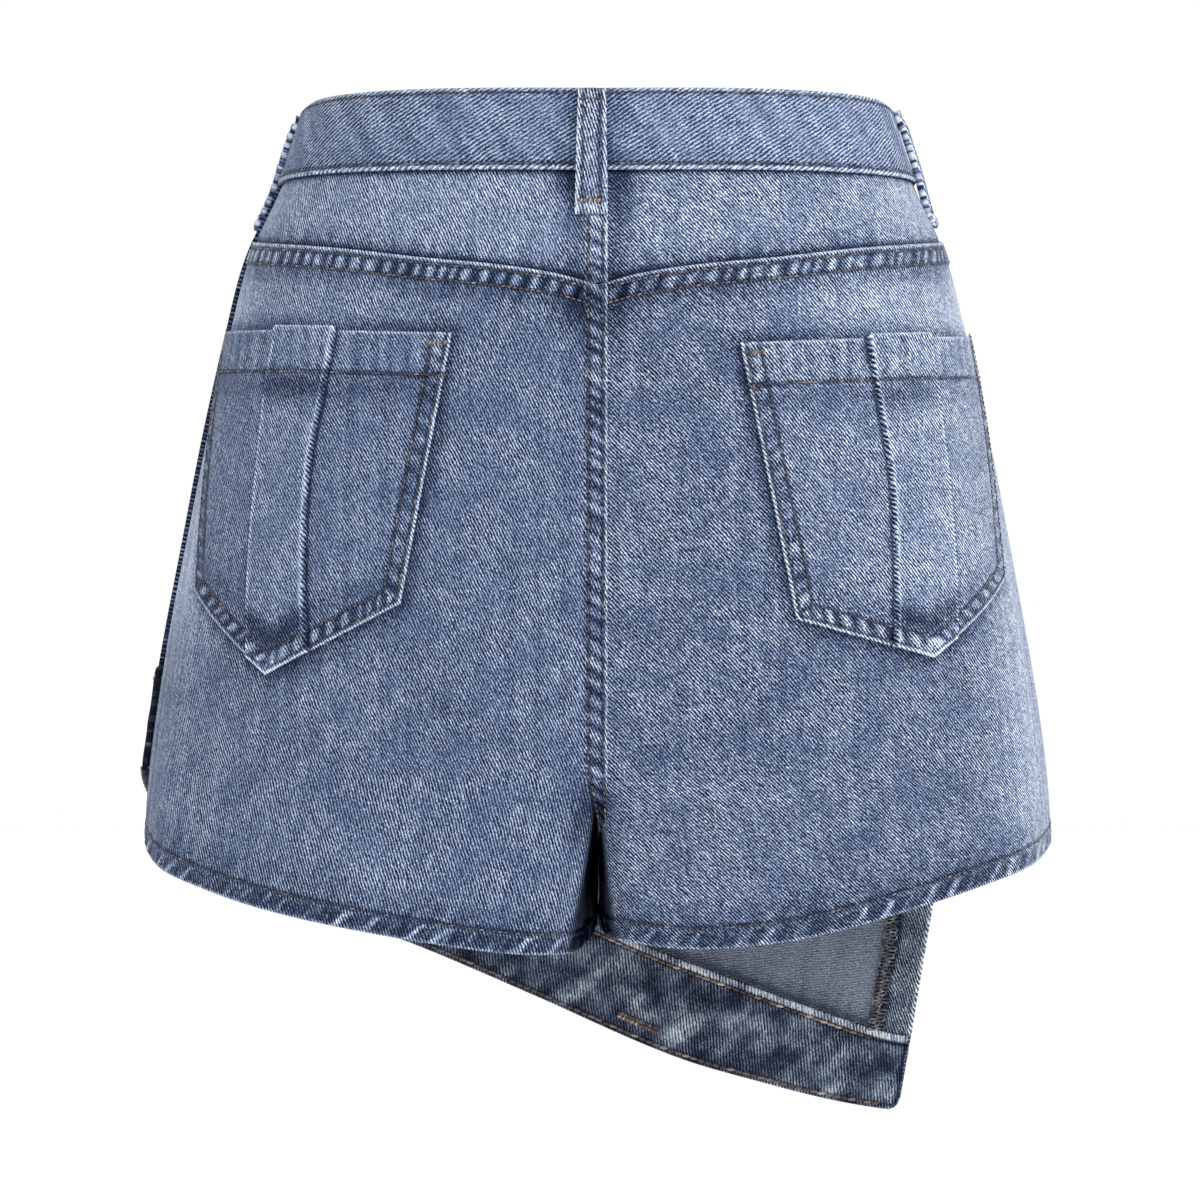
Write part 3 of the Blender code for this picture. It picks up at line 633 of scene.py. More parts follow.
def stitches(name, rows, pitch=2.5, length=2.15, width=0.75, turn=0.08, seed=1):
    """Rows of stitches as one piece. Each row is (points, outward directions, tint)."""
    points, edges, outward, tints, start = [], [], [], [], 0
    for line, direction, tint in rows:
        count = len(line)
        points.append(line)
        outward.append(direction)
        tints.append(np.broadcast_to(tint, (count,)))
        edges += [(start + k, start + k + 1) for k in range(count - 1)]
        start += count
    path = bpy.data.meshes.new(name + " path")
    path.from_pydata(np.concatenate(points) * MM, edges, [])
    away = path.attributes.new("outward", "FLOAT_VECTOR", "POINT")
    away.data.foreach_set("vector", np.concatenate(outward).astype(np.float32).ravel())
    tinted = path.attributes.new("tint", "FLOAT", "POINT")
    tinted.data.foreach_set("value", np.concatenate(tints).astype(np.float32))
    guide = placed(name + " guide", path)
    sewing = guide.modifiers.new("sewing", "NODES")
    sewing.node_group = topstitching
    wanted = {"Pitch": pitch * MM, "Length": length * MM, "Width": width * MM, "Turn": turn,
              "Seed": seed, "Thread": brown_thread}
    for socket in topstitching.interface.items_tree:
        if socket.in_out == "INPUT" and socket.name in wanted:
            sewing[socket.identifier] = wanted[socket.name]
    seen = guide.evaluated_get(bpy.context.evaluated_depsgraph_get())
    mesh = bpy.data.meshes.new_from_object(seen)
    mesh.name = name
    bpy.data.objects.remove(guide)
    made = placed(name, mesh)
    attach(made, "root")
    return made


def facing(surface, a, b, step_a, step_b):
    """Outward unit normals of surface(a, b) around the garment."""
    across = surface(a + step_a, b) - surface(a - step_a, b)
    up = surface(a, b + step_b) - surface(a, b - step_b)
    normal = np.cross(across, up)
    normal /= np.linalg.norm(normal, axis=-1, keepdims=True)
    middle = surface(a, b)
    inwards = normal[..., 0] * middle[..., 0] + normal[..., 1] * middle[..., 1] < 0
    return np.where(inwards[..., None], -normal, normal)


def shorts_row(side, share, height, lift, tint):
    """A row of stitches on the shorts, this far off their plain face."""
    def surface(a, b):
        return shorts_point(side, a, b)
    away = facing(surface, share, height, 0.004, 1.0)
    return surface(share, height) + away * lift, away, tint


def rows_down(top, foot, near, middle_rows):
    """Heights down a piece, close together within near of its two edges."""
    edge = near[-1]
    down = np.linspace(0, 1, middle_rows)[1:-1, None]
    middle = mix(top - edge, foot + edge, down)
    return np.concatenate((top - near[:, None], middle, foot + near[::-1, None]))


def leg_panel(side, face, hem, top, columns, near, spacing):
    """The grids of a leg panel: its outer face, and the inner face of the leg, which hangs from
    the crotch seam. Returns them with their distances below the top and above the hem."""
    turn = BACK_TURN if face > 0 else FRONT_TURN
    shares = np.linspace(0, 1 - SEAM_SHARE, columns)
    tops, feet = top(shares), smooth(hem, shares, HEM_COLUMN[side])
    edge = near[-1]
    above = np.linspace(0, 1, int((tops[0] - edge - turn) / spacing))
    below = np.linspace(0, 1, int((turn - feet[0] - edge) / spacing))[1:]
    tau = (tops[0] - edge - turn) / (tops[0] - feet[0] - 2 * edge)
    downs = np.concatenate((above * tau, mix(tau, 1, below)))[:, None]
    heights = np.concatenate((tops - near[:-1, None], mix(tops - edge, feet + edge, downs),
                              feet + near[:-1][::-1, None]))
    turn_row = len(near) - 1 + len(above) - 1
    points = shorts_point(side, shares if face > 0 else 2 - shares, heights)
    reach = on_outline(side, face, shares + 0 * heights, heights)[2]
    half_round = 0.0 if face > 0 else 2 * on_outline(side, 1, 1 + 0 * heights, heights)[2]
    along = reach if face > 0 else half_round - reach
    outer = {"points": points, "along": side * along, "below": tops - heights,
             "above": heights - feet, "reach": reach, "depth": 0 * heights}
    across = np.cos(np.radians(np.linspace(0, 90, max(8, columns // 12))))
    down = (turn - heights[turn_row:, 0:1]) / (turn - feet[0])
    foot = mix(INSEAM_FOOT, feet[0], across)
    inner_heights = mix(crotch_curve(face, across), foot, down)
    inner_points = inner_leg_point(side, face, across, inner_heights)
    depth = np.abs(inner_points[:, :, 1] - inner_points[:, :1, 1])
    start = side * along[turn_row:, 0:1]
    inner = {"points": inner_points, "along": start - side * face * depth,
             "below": NO_SEAM + 0 * depth, "above": inner_heights - foot, "reach": 0 * depth,
             "depth": depth}
    for patch in (outer, inner):
        patch["place"] = np.stack((patch["along"], patch["points"][..., 2]), axis=-1)
        patch["turned"] = (patch["above"] < HEM_DEPTH).astype(float)
    return outer, inner


def hem_wear_and_shade(patch, seed):
    """Lift and fade of a turned and stitched hem: diagonal puckers, with pale crests and edge, and
    painted shade on the leg's inner face between the legs.
    """
    along, above = patch["along"], patch["above"]
    band = between(above, 0, 1.5) * between(above, HEM_ROW - 0.6, HEM_ROW - 2.6)
    pucker = roping(along + 0.9 * above, pitch=11.0, seed=seed)
    fine = roping(along + 0.5 * above, pitch=4.6, seed=seed + 1)
    crest = np.maximum(pucker, 0) ** 2 + 0.5 * np.maximum(fine, 0) ** 2
    over_hem = 0.14 * bump(above - 14, 5) * (0.5 + 0.5 * pucker)
    # Painted shade on the leg's inner face, where shade falls between the legs; less of it near the
    # hem, where light comes in from below
    shade = between(patch["depth"], 2, 8) * mix(0.6, 1.0, between(above, 0, 45))
    lift = HEM_RISE * (above < HEM_DEPTH) + 0.42 * band * pucker + marks(above, HEM_LIFTS)
    fade = band * (0.56 * crest - 0.28) + marks(above, HEM_FADES) - over_hem - SHADED * shade
    return lift, fade


def fell_wear(below, along, seed):
    """Lift and fade of a felled seam, by the distance from its folded edge."""
    band = between(below, FIRST_ROW, FIRST_ROW + 1.2) * between(below, FELL, FELL - 1.2)
    pucker = roping(along - 0.35 * below, pitch=7.0, seed=seed)
    layers = FELL_RISE * between(below, FELL + FELL_END, FELL)
    under_fell = 0.16 * bump(below - FELL - 3, 3.0) * (0.6 - 0.4 * pucker)
    lift = layers + marks(below, FELL_LIFTS) + 0.30 * band * pucker
    fade = marks(below, FELL_FADES) + band * (0.38 * pucker - 0.08) - under_fell
    return lift, fade


def pocket_outline(side):
    names = ("inner top", "outer top", "outer foot", "point", "inner foot")
    return [POCKET_CORNERS[side][word] for word in names]


# Painted light: how much paler a panel is at its side seam, above and below the pocket's point, where
# the sides catch the light; most on the right, nearest the lamp
SIDE_LIGHT = {LEFT: (0.26, 0.04), RIGHT: (0.30, 0.28)}
UPPER_LIGHT = {LEFT: 0.11, RIGHT: 0.24}   # painted light: how much paler it is between the yoke and the pocket, most on the right, nearest the lamp
POCKET_EDGE_DARK = 0.24                        # how much darker the panel is just round the pocket's edge
CORNER_DYE = 0.26                        # dye kept where the yoke seams meet
CROTCH_SHADE = {LEFT: 0.26, RIGHT: 0.12}
NEAR_ROWS = np.linspace(0, 13.5, 21)     # rows close to a panel's top and foot


def side_light(side, reach, height):
    upper, lower = SIDE_LIGHT[side]
    return mix(upper, lower, between(height, -205, -255)) * between(reach, 155, 215)


def back_top(shares):
    return smooth(YOKE_SEAM, shares) - SEAM / 2


for side, word, face_cloth in HALVES:
    outer, inner = leg_panel(side, 1, BACK_HEM, back_top, 190, NEAR_ROWS, 4.0)
    for patch in (outer, inner):
        along, height, reach = patch["along"], patch["points"][..., 2], patch["reach"]
        hem_lift, hem_fade_and_shade = hem_wear_and_shade(patch, seed=11 + side)
        fell_lift, fell_fade = fell_wear(patch["below"], along, seed=21 + side)
        crease = crease_rise(patch["points"])
        pocket_off = outline_distance(reach, height, pocket_outline(side))
        at_pocket = np.where(pocket_off > -2, bump(np.maximum(pocket_off, 0), 4.0), 0.0)
        at_corner = bump(reach - 6, 8) * bump(height + 94, 15)
        at_crotch = bump(reach - 1, 7) * bump(height + 303, 13)
        over_pocket = bump(height + 92, 22) * between(reach, 50, 130)
        streaked = (0.05 + 0.07 * between(reach, 160, 220)) * streaks(along, height, seed=31 + side)
        patch["lift"] = hem_lift + fell_lift + crease
        patch["fade"] = (hem_fade_and_shade + fell_fade + CREASE_FADE * crease + streaked
                         + side_light(side, reach, height) + UPPER_LIGHT[side] * over_pocket
                         - POCKET_EDGE_DARK * at_pocket - CORNER_DYE * at_corner
                         - CROTCH_SHADE[side] * at_crotch)
    mesh = cloth_mesh(f"back_{word}_cloth", outer, inner)
    made = cloth_piece(f"back_{word}_cloth", mesh, face_cloth, wrong_side, DENIM)
    shares = np.linspace(0.024, 0.996, 260)
    tint = np.interp(shares, (0, 0.16, 0.3, 1), (0.9, 0.6, 0.25, 0.10))
    rows = [shorts_row(side, shares, back_top(shares) - off, FELL_RISE - ROW_SINK + 0.2, tint)
            for off in (FIRST_ROW, FELL)]
    hem_shares = np.linspace(0.0, 0.997, 260)
    hem_height = smooth(BACK_HEM, hem_shares, HEM_COLUMN[side]) + HEM_ROW
    rows.append(shorts_row(side, hem_shares, hem_height, 0.1, 0.12))
    sewn = stitches(f"back_{word}_stitching", rows, seed=3 + side)
    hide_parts(f"back_{word}")

# ------------------------------------------------------------------------------------------------
# Yokes
# Each is one shaped layer of the same denim between the waistband and the V-shaped yoke seam. The
# back panels' turned edges lie on its foot, so the dye stays dark in the corner just above them.
# ------------------------------------------------------------------------------------------------

WAIST_FOOT = ((0, -35.2), (90, -33.2), (180, -39.0))     # angle, height of the waistband's foot
YOKE_SEAM_DARK = 0.42  # dye kept along its foot
# How much paler each yoke is, near the centre and near the side: paled by the wash, and on the right
# side also painted light, nearest the lamp
YOKE_WEAR_AND_LIGHT = {LEFT: (0.13, 0.12), RIGHT: (0.13, 0.24)}
LOOP_SHADOW = {LEFT: 0.26, RIGHT: 0.14}     # painted shadow of the back belt loop, beside it and below the waistband


def waist_foot(angle):
    """Height of the waistband's lower edge, by the angle about the waist."""
    return smooth(WAIST_FOOT, np.where(angle > 180, 360 - angle, angle))


def foot_above(side, share):
    return waist_foot(angle_of(shorts_point(side, share, WAIST_FOOT[0][1] + 0 * share)))


for side, word, face_cloth in HALVES:
    shares = np.linspace(0, 1 - SEAM_SHARE, 190)
    tops = foot_above(side, shares) - SEAM
    feet = smooth(YOKE_SEAM, shares) + SEAM / 2
    heights = rows_down(tops, feet, np.linspace(0, 6, 9), 14)
    points = shorts_point(side, shares, heights)
    reach = on_outline(side, 1, shares + 0 * heights, heights)[2]
    along = side * reach
    below, above = tops - heights, heights - feet
    crease = crease_rise(points)
    pucker = roping(along, pitch=9.0, seed=41 + side)
    # Paler with the wash, and towards the side also painted light
    paled = mix(*YOKE_WEAR_AND_LIGHT[side], between(reach, 95, 155)) + 0.06 * between(reach, 120, 180)
    # Dye kept along the seam at its foot and between the puckers above it; painted shadow just below
    # the waistband's edge, beside the centre strip and beside the back loop
    dyed_and_shaded = (YOKE_SEAM_DARK * bump(above, 2.0) + 0.36 * bump(below, 1.6) + 0.22 * bump(reach - 7, 7)
            + 0.16 * bump(above - 4, 4) * (0.5 + 0.5 * pucker)
            + LOOP_SHADOW[side] * bump(reach - 12, 8) * bump(below - 4, 9))
    patch = {
        "points": points, "place": np.stack((along, heights), axis=-1),
        "lift": crease - 0.25 * bump(above, 1.2) + 0.12 * pucker * bump(above - 3, 3),
        "fade": (CREASE_FADE * crease + paled - dyed_and_shaded + 0.05 * streaks(along, heights, seed=43 + side)),
    }
    mesh = cloth_mesh(f"yoke_{word}_cloth", patch)
    made = cloth_piece(f"yoke_{word}_cloth", mesh, face_cloth, wrong_side, DENIM)
    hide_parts(f"yoke_{word}")

# ------------------------------------------------------------------------------------------------
# Centre back seam
# The left back is felled over the right one: a strip of folded denim, 9.7 mm wide, with a rolled
# edge on its right and two rows of stitching. The yokes have the same, under the back belt loop.
# ------------------------------------------------------------------------------------------------

STRIP_LEFT, STRIP_RIGHT = 5.5, -4.2      # its two edges, as distances towards the wearer's left
STRIP_ROWS = (4.0, -2.1)                 # its two rows of stitching
STRIP_RISE = 0.75      # how far it stands above the panels
STRIPS = {"yoke": (35.6, 83.2), "back": (84.2, 346.0)}   # each one's top and end, below the waist
STRIP_SEWN = 316.0     # where its rows of stitching end
STRIP_OVER_FELL = 2.5  # the way over which it climbs onto the back panels' felled edge
STRIP_UNDER = (
    # distance down from the waist, height, depth lost as it turns under, share of its width
    (282, -282.0, 0.0, 1.0), (290, -290.0, 0.2, 0.86), (296, -295.8, 0.9, 0.72),
    (303, -302.4, 2.6, 0.56), (309, -307.6, 5.2, 0.46), (316, -311.2, 10.8, 0.42),
    (330, -314.5, 24.0, 0.42), (350, -317.5, 43.0, 0.42),
)


def strip_point(travelled, sideways, out=0.0):
    """Points of the strip by distance down from the waist and towards the wearer's left. It lies
    straight down the seam and then turns under between the legs, growing narrower."""
    under = travelled > STRIP_UNDER[0][0]
    height = np.where(under, smooth(STRIP_UNDER, travelled), -travelled)
    lost = np.where(under, smooth(STRIP_UNDER, travelled, 2), 0.0)
    width = np.where(under, smooth(STRIP_UNDER, travelled, 3), 1.0)
    beside = STRIP_RIGHT + (sideways - STRIP_RIGHT) * width
    level = np.maximum(height, BACK_TURN)
    angle = np.degrees(np.arcsin(beside / smooth(FORM, level, 1))) % 360
    points = form_point(angle, level, out)
    return np.stack((points[..., 0], points[..., 1] - lost, height), axis=-1)


def over_fell(word, down):
    """Rise of a strip where it lies on the back panels' felled edge."""
    fell_end = STRIPS["back"][0] + FELL
    on_it = between(down, fell_end + STRIP_OVER_FELL, fell_end)
    return FELL_RISE * on_it if word == "back" else 0 * down


for word, (start, end) in STRIPS.items():
    down = np.linspace(start, end, int((end - start) / 1.4))[:, None]
    sideways = np.linspace(STRIP_RIGHT, STRIP_LEFT, 17)[None]
    from_right, from_left = sideways - STRIP_RIGHT, STRIP_LEFT - sideways
    pucker = roping(down + 0.6 * sideways, pitch=6.2, seed=51)
    slow = roping(down, pitch=26.0, seed=52)
    in_rows = between(from_right, 1.2, 3.2) * between(from_left, 0, 1.2)
    rows_sunk, rows_dark = (sum(bump(sideways - row, width) for row in STRIP_ROWS)
                            for width in (0.6, 0.8))
    lift = (STRIP_RISE + over_fell(word, down) + 0.22 * pucker * in_rows - ROW_SINK * rows_sunk
            + marks(from_right, ((0.8, 0.8, 0.45), (0.0, 0.3, -0.5))) - 0.55 * bump(from_left, 0.5))
    fade = (0.30 * bump(from_right - 0.7, 0.8) * (0.8 + 0.2 * pucker) + 0.12 * bump(from_left, 0.8)
            + in_rows * (0.32 * pucker + 0.10 * slow - 0.05) - 0.30 * rows_dark)
    if word == "back":
        # Painted shade where the strip turns under between the legs
        fade = fade - 0.26 * bump(down - 98, 7) - 0.45 * between(down, 284, 304)
    else:
        fade = fade + 0.16 - 0.24 * bump(down - 78, 5)
    lift, fade = np.broadcast_arrays(lift, fade)
    points = strip_point(down + 0 * sideways, sideways + 0 * down)
    place = np.stack(np.broadcast_arrays(sideways, -down), axis=-1)
    mesh = cloth_mesh(f"centre_{word}_fell", {"points": points, "place": place, "lift": lift,
                                              "fade": fade})
    made = cloth_piece(f"centre_{word}_fell", mesh, left_face, wrong_side, STRIP_RISE)
    rows = []
    for row_at in STRIP_ROWS:
        way = np.linspace(start + 0.6, min(end - 4, STRIP_SEWN), int((end - start) / 1.5))
        line = strip_point(way, row_at + 0 * way)
        next_to = strip_point(way, row_at + 1 + 0 * way)
        away = np.cross(next_to - line, np.gradient(line, axis=0))
        away /= np.linalg.norm(away, axis=1, keepdims=True)
        away = np.where(away[:, 1:2] < 0, -away, away)
        lifted = (STRIP_RISE - 0.1 + over_fell(word, way))[:, None]
        rows.append((line + away * lifted, away, np.where(way < 100, 0.22, 0.05)))
    sewn = stitches(f"centre_{word}_stitching", rows, seed=55)

# ------------------------------------------------------------------------------------------------
# Front panels
# One layer of the same denim each, from the waistband to the hem and under the crotch. The apron
# covers them down to its slanting edge, so they have a plain hem like the back's and no more.
# ------------------------------------------------------------------------------------------------

FRONT_HEM = (
    # share, height on the left leg, height on the right leg
    (0.0, -353.0, -353.0), (0.2, -354.0, -354.0), (0.5, -345.0, -345.0), (0.75, -331.0, -331.0),
    (1.0, -320.0, -320.0),
)

for side, word, face_cloth in HALVES:
    def front_top(shares, side=side):
        return foot_above(side, 2 - shares) - SEAM

    outer, inner = leg_panel(side, -1, FRONT_HEM, front_top, 110, np.linspace(0, 13.5, 15), 6.0)
    for patch in (outer, inner):
        hem_lift, hem_fade_and_shade = hem_wear_and_shade(patch, seed=61 + side)
        height = patch["points"][..., 2]
        patch["lift"] = hem_lift + 0.6 * crease_rise(patch["points"])
        patch["fade"] = (hem_fade_and_shade + 0.05 * streaks(patch["along"], height, seed=63 + side)
                         + side_light(side, patch["reach"], height))
    mesh = cloth_mesh(f"front_{word}_cloth", outer, inner)
    made = cloth_piece(f"front_{word}_cloth", mesh, face_cloth, wrong_side, DENIM)
    shares = np.linspace(0.0, 0.997, 200)
    row_height = smooth(FRONT_HEM, shares, HEM_COLUMN[side]) + HEM_ROW
    hem_row = shorts_row(side, 2 - shares, row_height, 0.1, 0.3)
    sewn = stitches(f"front_{word}_stitching", [hem_row], seed=65 + side)
    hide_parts(f"front_{word}")

# ------------------------------------------------------------------------------------------------
# Waistband
# One folded strip of denim, 35 mm deep and cut along the warp, so that its twill leans the other
# way. It laps over its own end on the wearer's right and is stitched along both of its edges.
# ------------------------------------------------------------------------------------------------

WAIST_TOP = ((0, 0.0), (60, 0.8), (90, -1.4), (180, -5.0))   # angle, height of its top edge
BAND_DEPTH = 35.0      # its depth as it is drafted; it dips and narrows a little with WAIST_FOOT
BAND_PROUD = 2.4       # how far its face stands off the form
BAND_FROM, BAND_LAP = 213.0, 250.0       # angles of its hidden end and of the end that shows
BAND_RAMP = 40.0       # degrees over which the two ends part before they lie on each other
LAP_CLEARANCE = 3.0    # degrees kept between such a ramp and the end that it clears
BAND_ROWS = (2.0, 32.4)                  # its two rows of stitching, down from the top edge

BELT_LOOPS = (
    # name and angle about the waist of each loop that crosses the band
    ("belt_loop_back", 1.1),
    ("belt_loop_side_left", 93.5),
    ("belt_loop_front_left", 148.0),
    ("belt_loop_front_right", 207.0),
    ("belt_loop_side_right", 277.0),
)
LOOP_DYE_AND_SHADOW_SPAN = 4.6     # degrees beside a loop where the band is darker: dye the loop kept, and painted shadow of the loop

# Cut along the warp, so that its lines lean the other way; the wash left it low in contrast
band_face = denim("washed denim face, waistband", -25, 0.51, contrast=0.64, grain=0.9)


def waist_top(angle):
    """Height of the waistband's upper edge, by the angle about the waist."""
    return smooth(WAIST_TOP, np.where(angle > 180, 360 - angle, angle))


def lap_over(travelled):
    """How far the band has climbed to lie over its own end, from 0 to 1."""
    return ease((travelled - (BAND_FROM - LAP_CLEARANCE - BAND_RAMP)) / BAND_RAMP)


def band_point(travelled, down, out=0.0):
    """Points of the waistband's outer face by degrees travelled from its hidden end and by the
    distance down from its top, out of its drafted depth."""
    angle = travelled % 360
    height = mix(waist_top(angle), waist_foot(angle), down / BAND_DEPTH)
    under = 1 - ease((travelled - BAND_LAP - LAP_CLEARANCE) / BAND_RAMP)
    over = lap_over(travelled - 360)
    return form_point(angle, height, BAND_PROUD + (FOLDED + SEAM) / 2 * (over - under) + out)


travelled = np.linspace(BAND_FROM, BAND_LAP + 360, 620)[None]
near = np.linspace(0, 6, 10)
middle_rows = np.linspace(6, BAND_DEPTH - 6, 18)[1:-1]
down = np.concatenate((near, middle_rows, BAND_DEPTH - near[::-1]))[:, None]
points = band_point(travelled + 0 * down, down + 0 * travelled)
steps = np.linalg.norm(np.diff(points, axis=1), axis=2)
along = np.concatenate((0 * down, np.cumsum(steps, axis=1)), axis=1)
pucker = roping(along + 0.3 * down, pitch=8.0, seed=71)
from_foot = BAND_DEPTH - down
ends = np.minimum(along, along[:, -1:] - along)
# Darker beside each loop: dye the loop kept, and painted shadow of the loop
at_loops = sum(bump((travelled % 360 - at + 180) % 360 - 180, LOOP_DYE_AND_SHADOW_SPAN)
               for _, at in BELT_LOOPS)
paled = (0.20 * bump(down - 0.5, 0.9) + (0.24 + 0.10 * pucker) * bump(from_foot - 0.7, 0.8)
        + 0.05 * pucker * bump(down, 6) + 0.15 * bump(ends, 1.2)
        + 0.08 * streaks(along, down * 3, seed=73, spacing=12))
dyed_and_shaded = (marks(down, ((BAND_ROWS[0], 0.7, 0.26), (BAND_ROWS[1], 0.8, 0.36)))
        + 0.08 * bump(from_foot - 6, 3) * (0.5 + 0.5 * pucker) + 0.22 * at_loops)
# Painted light: the band is a little darker towards the left, away from the lamp, and paler towards
# the right
to_left = points[..., 0] / FORM[0][1]
patch = {
    "points": points, "place": np.stack((along, -down + 0 * along), axis=-1),
    "lift": (0.14 * pucker * (bump(down - 5, 4) + bump(from_foot - 5, 4))
             + marks(down, ((0.0, 0.7, -0.8), *((row, 0.7, -ROW_SINK) for row in BAND_ROWS)))
             + marks(from_foot, ((0.0, 0.5, -0.8), (1.0, 0.9, 0.2))) - 0.6 * bump(ends, 0.7)),
    "fade": paled - dyed_and_shaded - 0.04 * to_left,
}
mesh = cloth_mesh("waistband_cloth", patch)
made = cloth_piece("waistband_cloth", mesh, band_face, band_face, FOLDED)


def band_row(down):
    """A row of stitches round the waistband, this far below its top."""
    way = np.linspace(BAND_FROM + 1, BAND_LAP + 359.4, 700)
    away = facing(band_point, way, down + 0 * way, 0.4, 1.0)
    return band_point(way, down + 0 * way) + away * (0.2 - ROW_SINK), away, 0.1


sewn = stitches("waistband_stitching", [band_row(down) for down in BAND_ROWS], seed=75)
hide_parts("waistband")

# ------------------------------------------------------------------------------------------------
# Back pockets
# Each is a five-sided patch of denim with a box pleat down its middle, laid on a back panel. Its
# mouth is faced and stitched 18 mm down, and two rows of stitching hold its sides and its point.
# ------------------------------------------------------------------------------------------------

POCKET_CLOTH = 1.7     # wall of its cloth
LAID_ON = 0.4          # space under a piece that lies on a panel
POCKET_HALF, POCKET_DEEP = 72.0, 130.0   # rough half width and depth, for spacing its grid
PLEAT_RISE = 1.7       # how far the box pleat stands above the pocket
PLEAT_STANDS = 1.7     # how far its top stands above the mouth
PLEAT = 0.24           # half its width, as a share of half the pocket, before its folds are moved
PLEAT_MIDDLE = 15.0    # distance of its middle from its folds
PLEAT_FOLDS = {
    # share of the way down, inner fold, outer fold: -1 is the inner edge and 1 the outer one
    LEFT: ((0.0, -0.287, 0.150), (0.2, -0.243, 0.200), (0.4, -0.200, 0.218),
           (0.6, -0.206, 0.240), (0.8, -0.245, 0.239), (1.0, -0.315, 0.208)),
    RIGHT: ((0.0, -0.223, 0.245), (0.2, -0.200, 0.266), (0.45, -0.175, 0.290),
            (0.65, -0.200, 0.291), (0.85, -0.243, 0.275), (1.0, -0.290, 0.245)),
}
POCKET_ROWS = (1.9, 8.0)                 # its two rows of stitching, in from its edge
FACING_ROW = 18.0                        # the row below its mouth
SEAM_ALLOWANCE = 12.5                    # cloth folded in along its inner edge
FACING_SHADE = {LEFT: 0.28, RIGHT: 0.20}    # painted shade on the pleat just below the facing
MOUTH_TACK = (2.0, 11.0, 4.2)            # a corner's bartack: its two ends in from the edge, depth
SIDES_AND_POINT = ("inner top", "inner foot", "point", "outer foot", "outer top")

# Cut a little off the panels' grain, so their lines lean differently from the cloth behind
pocket_face = {
    LEFT: denim("washed denim face, left pocket", 60, 0.42, contrast=0.7, grain=1.0),
    RIGHT: denim("washed denim face, right pocket", 50, 0.44),
}


def pocket_place(side, across, down):
    """Distance from the centre back seam and height of places on a pocket: across is -1 on its
    inner edge and 1 on its outer one, and down is 0 at its mouth and 1 at its foot."""
    corner = {word: np.array(at) for word, at in POCKET_CORNERS[side].items()}
    middle = (corner["inner top"] + corner["outer top"]) / 2
    across, down = across[..., None], down[..., None]
    top = mix(middle, np.where(across < 0, corner["inner top"], corner["outer top"]), abs(across))
    foot = mix(corner["point"], np.where(across < 0, corner["inner foot"], corner["outer foot"]),
               abs(across))
    place = mix(top, foot, down)
    return place[..., 0], place[..., 1]


def pocket_share(side, along, height):
    """Where on a pocket places lie, across and down: pocket_place turned round."""
    along, height = np.asarray(along, float), np.asarray(height, float)
    down = 0.5 + 0 * along
    for _ in range(8):
        middle = pocket_place(side, 0 * down, down)[0]
        edge = np.where(along < middle, -1.0, 1.0)
        across = edge * (along - middle) / (pocket_place(side, edge, down)[0] - middle)
        top = pocket_place(side, across, 0 * down)[1]
        foot = pocket_place(side, across, 1 + 0 * down)[1]
        down = (top - height) / (top - foot)
    return across, down


def path_distance(along, height, corners):
    """Distance from an open path of corners, and how far along it the nearest place is."""
    nearest, at, travelled = np.full(np.shape(along), 1e9), np.zeros(np.shape(along)), 0.0
    for (x0, y0), (x1, y1) in zip(corners, corners[1:]):
        dx, dy = x1 - x0, y1 - y0
        length = math.hypot(dx, dy)
        t = np.clip(((along - x0) * dx + (height - y0) * dy) / length**2, 0, 1)
        distance = np.hypot(along - x0 - t * dx, height - y0 - t * dy)
        at = np.where(distance < nearest, travelled + t * length, at)
        nearest = np.minimum(nearest, distance)
        travelled += length
    return nearest, at


def pleat_off(side, along, height):
    """Distance outside the box pleat's folded edges; inside it is a minus."""
    across, down = pocket_share(side, along, height)
    inner, outer = (smooth(PLEAT_FOLDS[side], down, column) for column in (1, 2))
    ends = [pocket_place(side, edge + 0 * down, down)[0] for edge in (-1, 1)]
    return np.maximum(across - outer, inner - across) * (ends[1] - ends[0]) / 2


def pocket_point(side, along, height, out):
    """Points over a back panel by distance from its centre seam and height, this far out."""
    reach = on_outline(side, 1, 1 + 0 * along, height)[2]
    at = shorts_point(side, along / reach, height)
    ahead = shorts_point(side, (along + 2) / reach, height) - at
    away = np.stack((ahead[..., 1], -ahead[..., 0], 0 * along), axis=-1)
    away /= np.linalg.norm(away, axis=-1, keepdims=True)
    away = np.where((away * at).sum(axis=-1, keepdims=True) < 0, -away, away)
    return at + away * np.asarray(out)[..., None], away


def inset_path(corners, inset):
    """An open path moved in by inset towards the inside of its bend."""
    lines = []
    for (x0, y0), (x1, y1) in zip(corners, corners[1:]):
        length = math.hypot(x1 - x0, y1 - y0)
        shift = np.array((-(y1 - y0), x1 - x0)) / length * inset
        lines.append((np.array((x0, y0)) + shift, np.array((x1, y1)) + shift))
    moved = [lines[0][0]]
    for (a, b), (c, d) in zip(lines, lines[1:]):
        ab, cd = b - a, d - c
        t = ((c[0] - a[0]) * cd[1] - (c[1] - a[1]) * cd[0]) / (ab[0] * cd[1] - ab[1] * cd[0])
        moved.append(a + ab * t)
    return moved + [lines[-1][1]]


def walked(corners, spacing=1.2):
    """Places every spacing mm along a path of corners."""
    corners = np.array(corners)
    far = np.concatenate(([0], np.cumsum(np.hypot(*np.diff(corners, axis=0).T))))
    at = np.arange(0, far[-1], spacing)
    return np.interp(at, far, corners[:, 0]), np.interp(at, far, corners[:, 1])


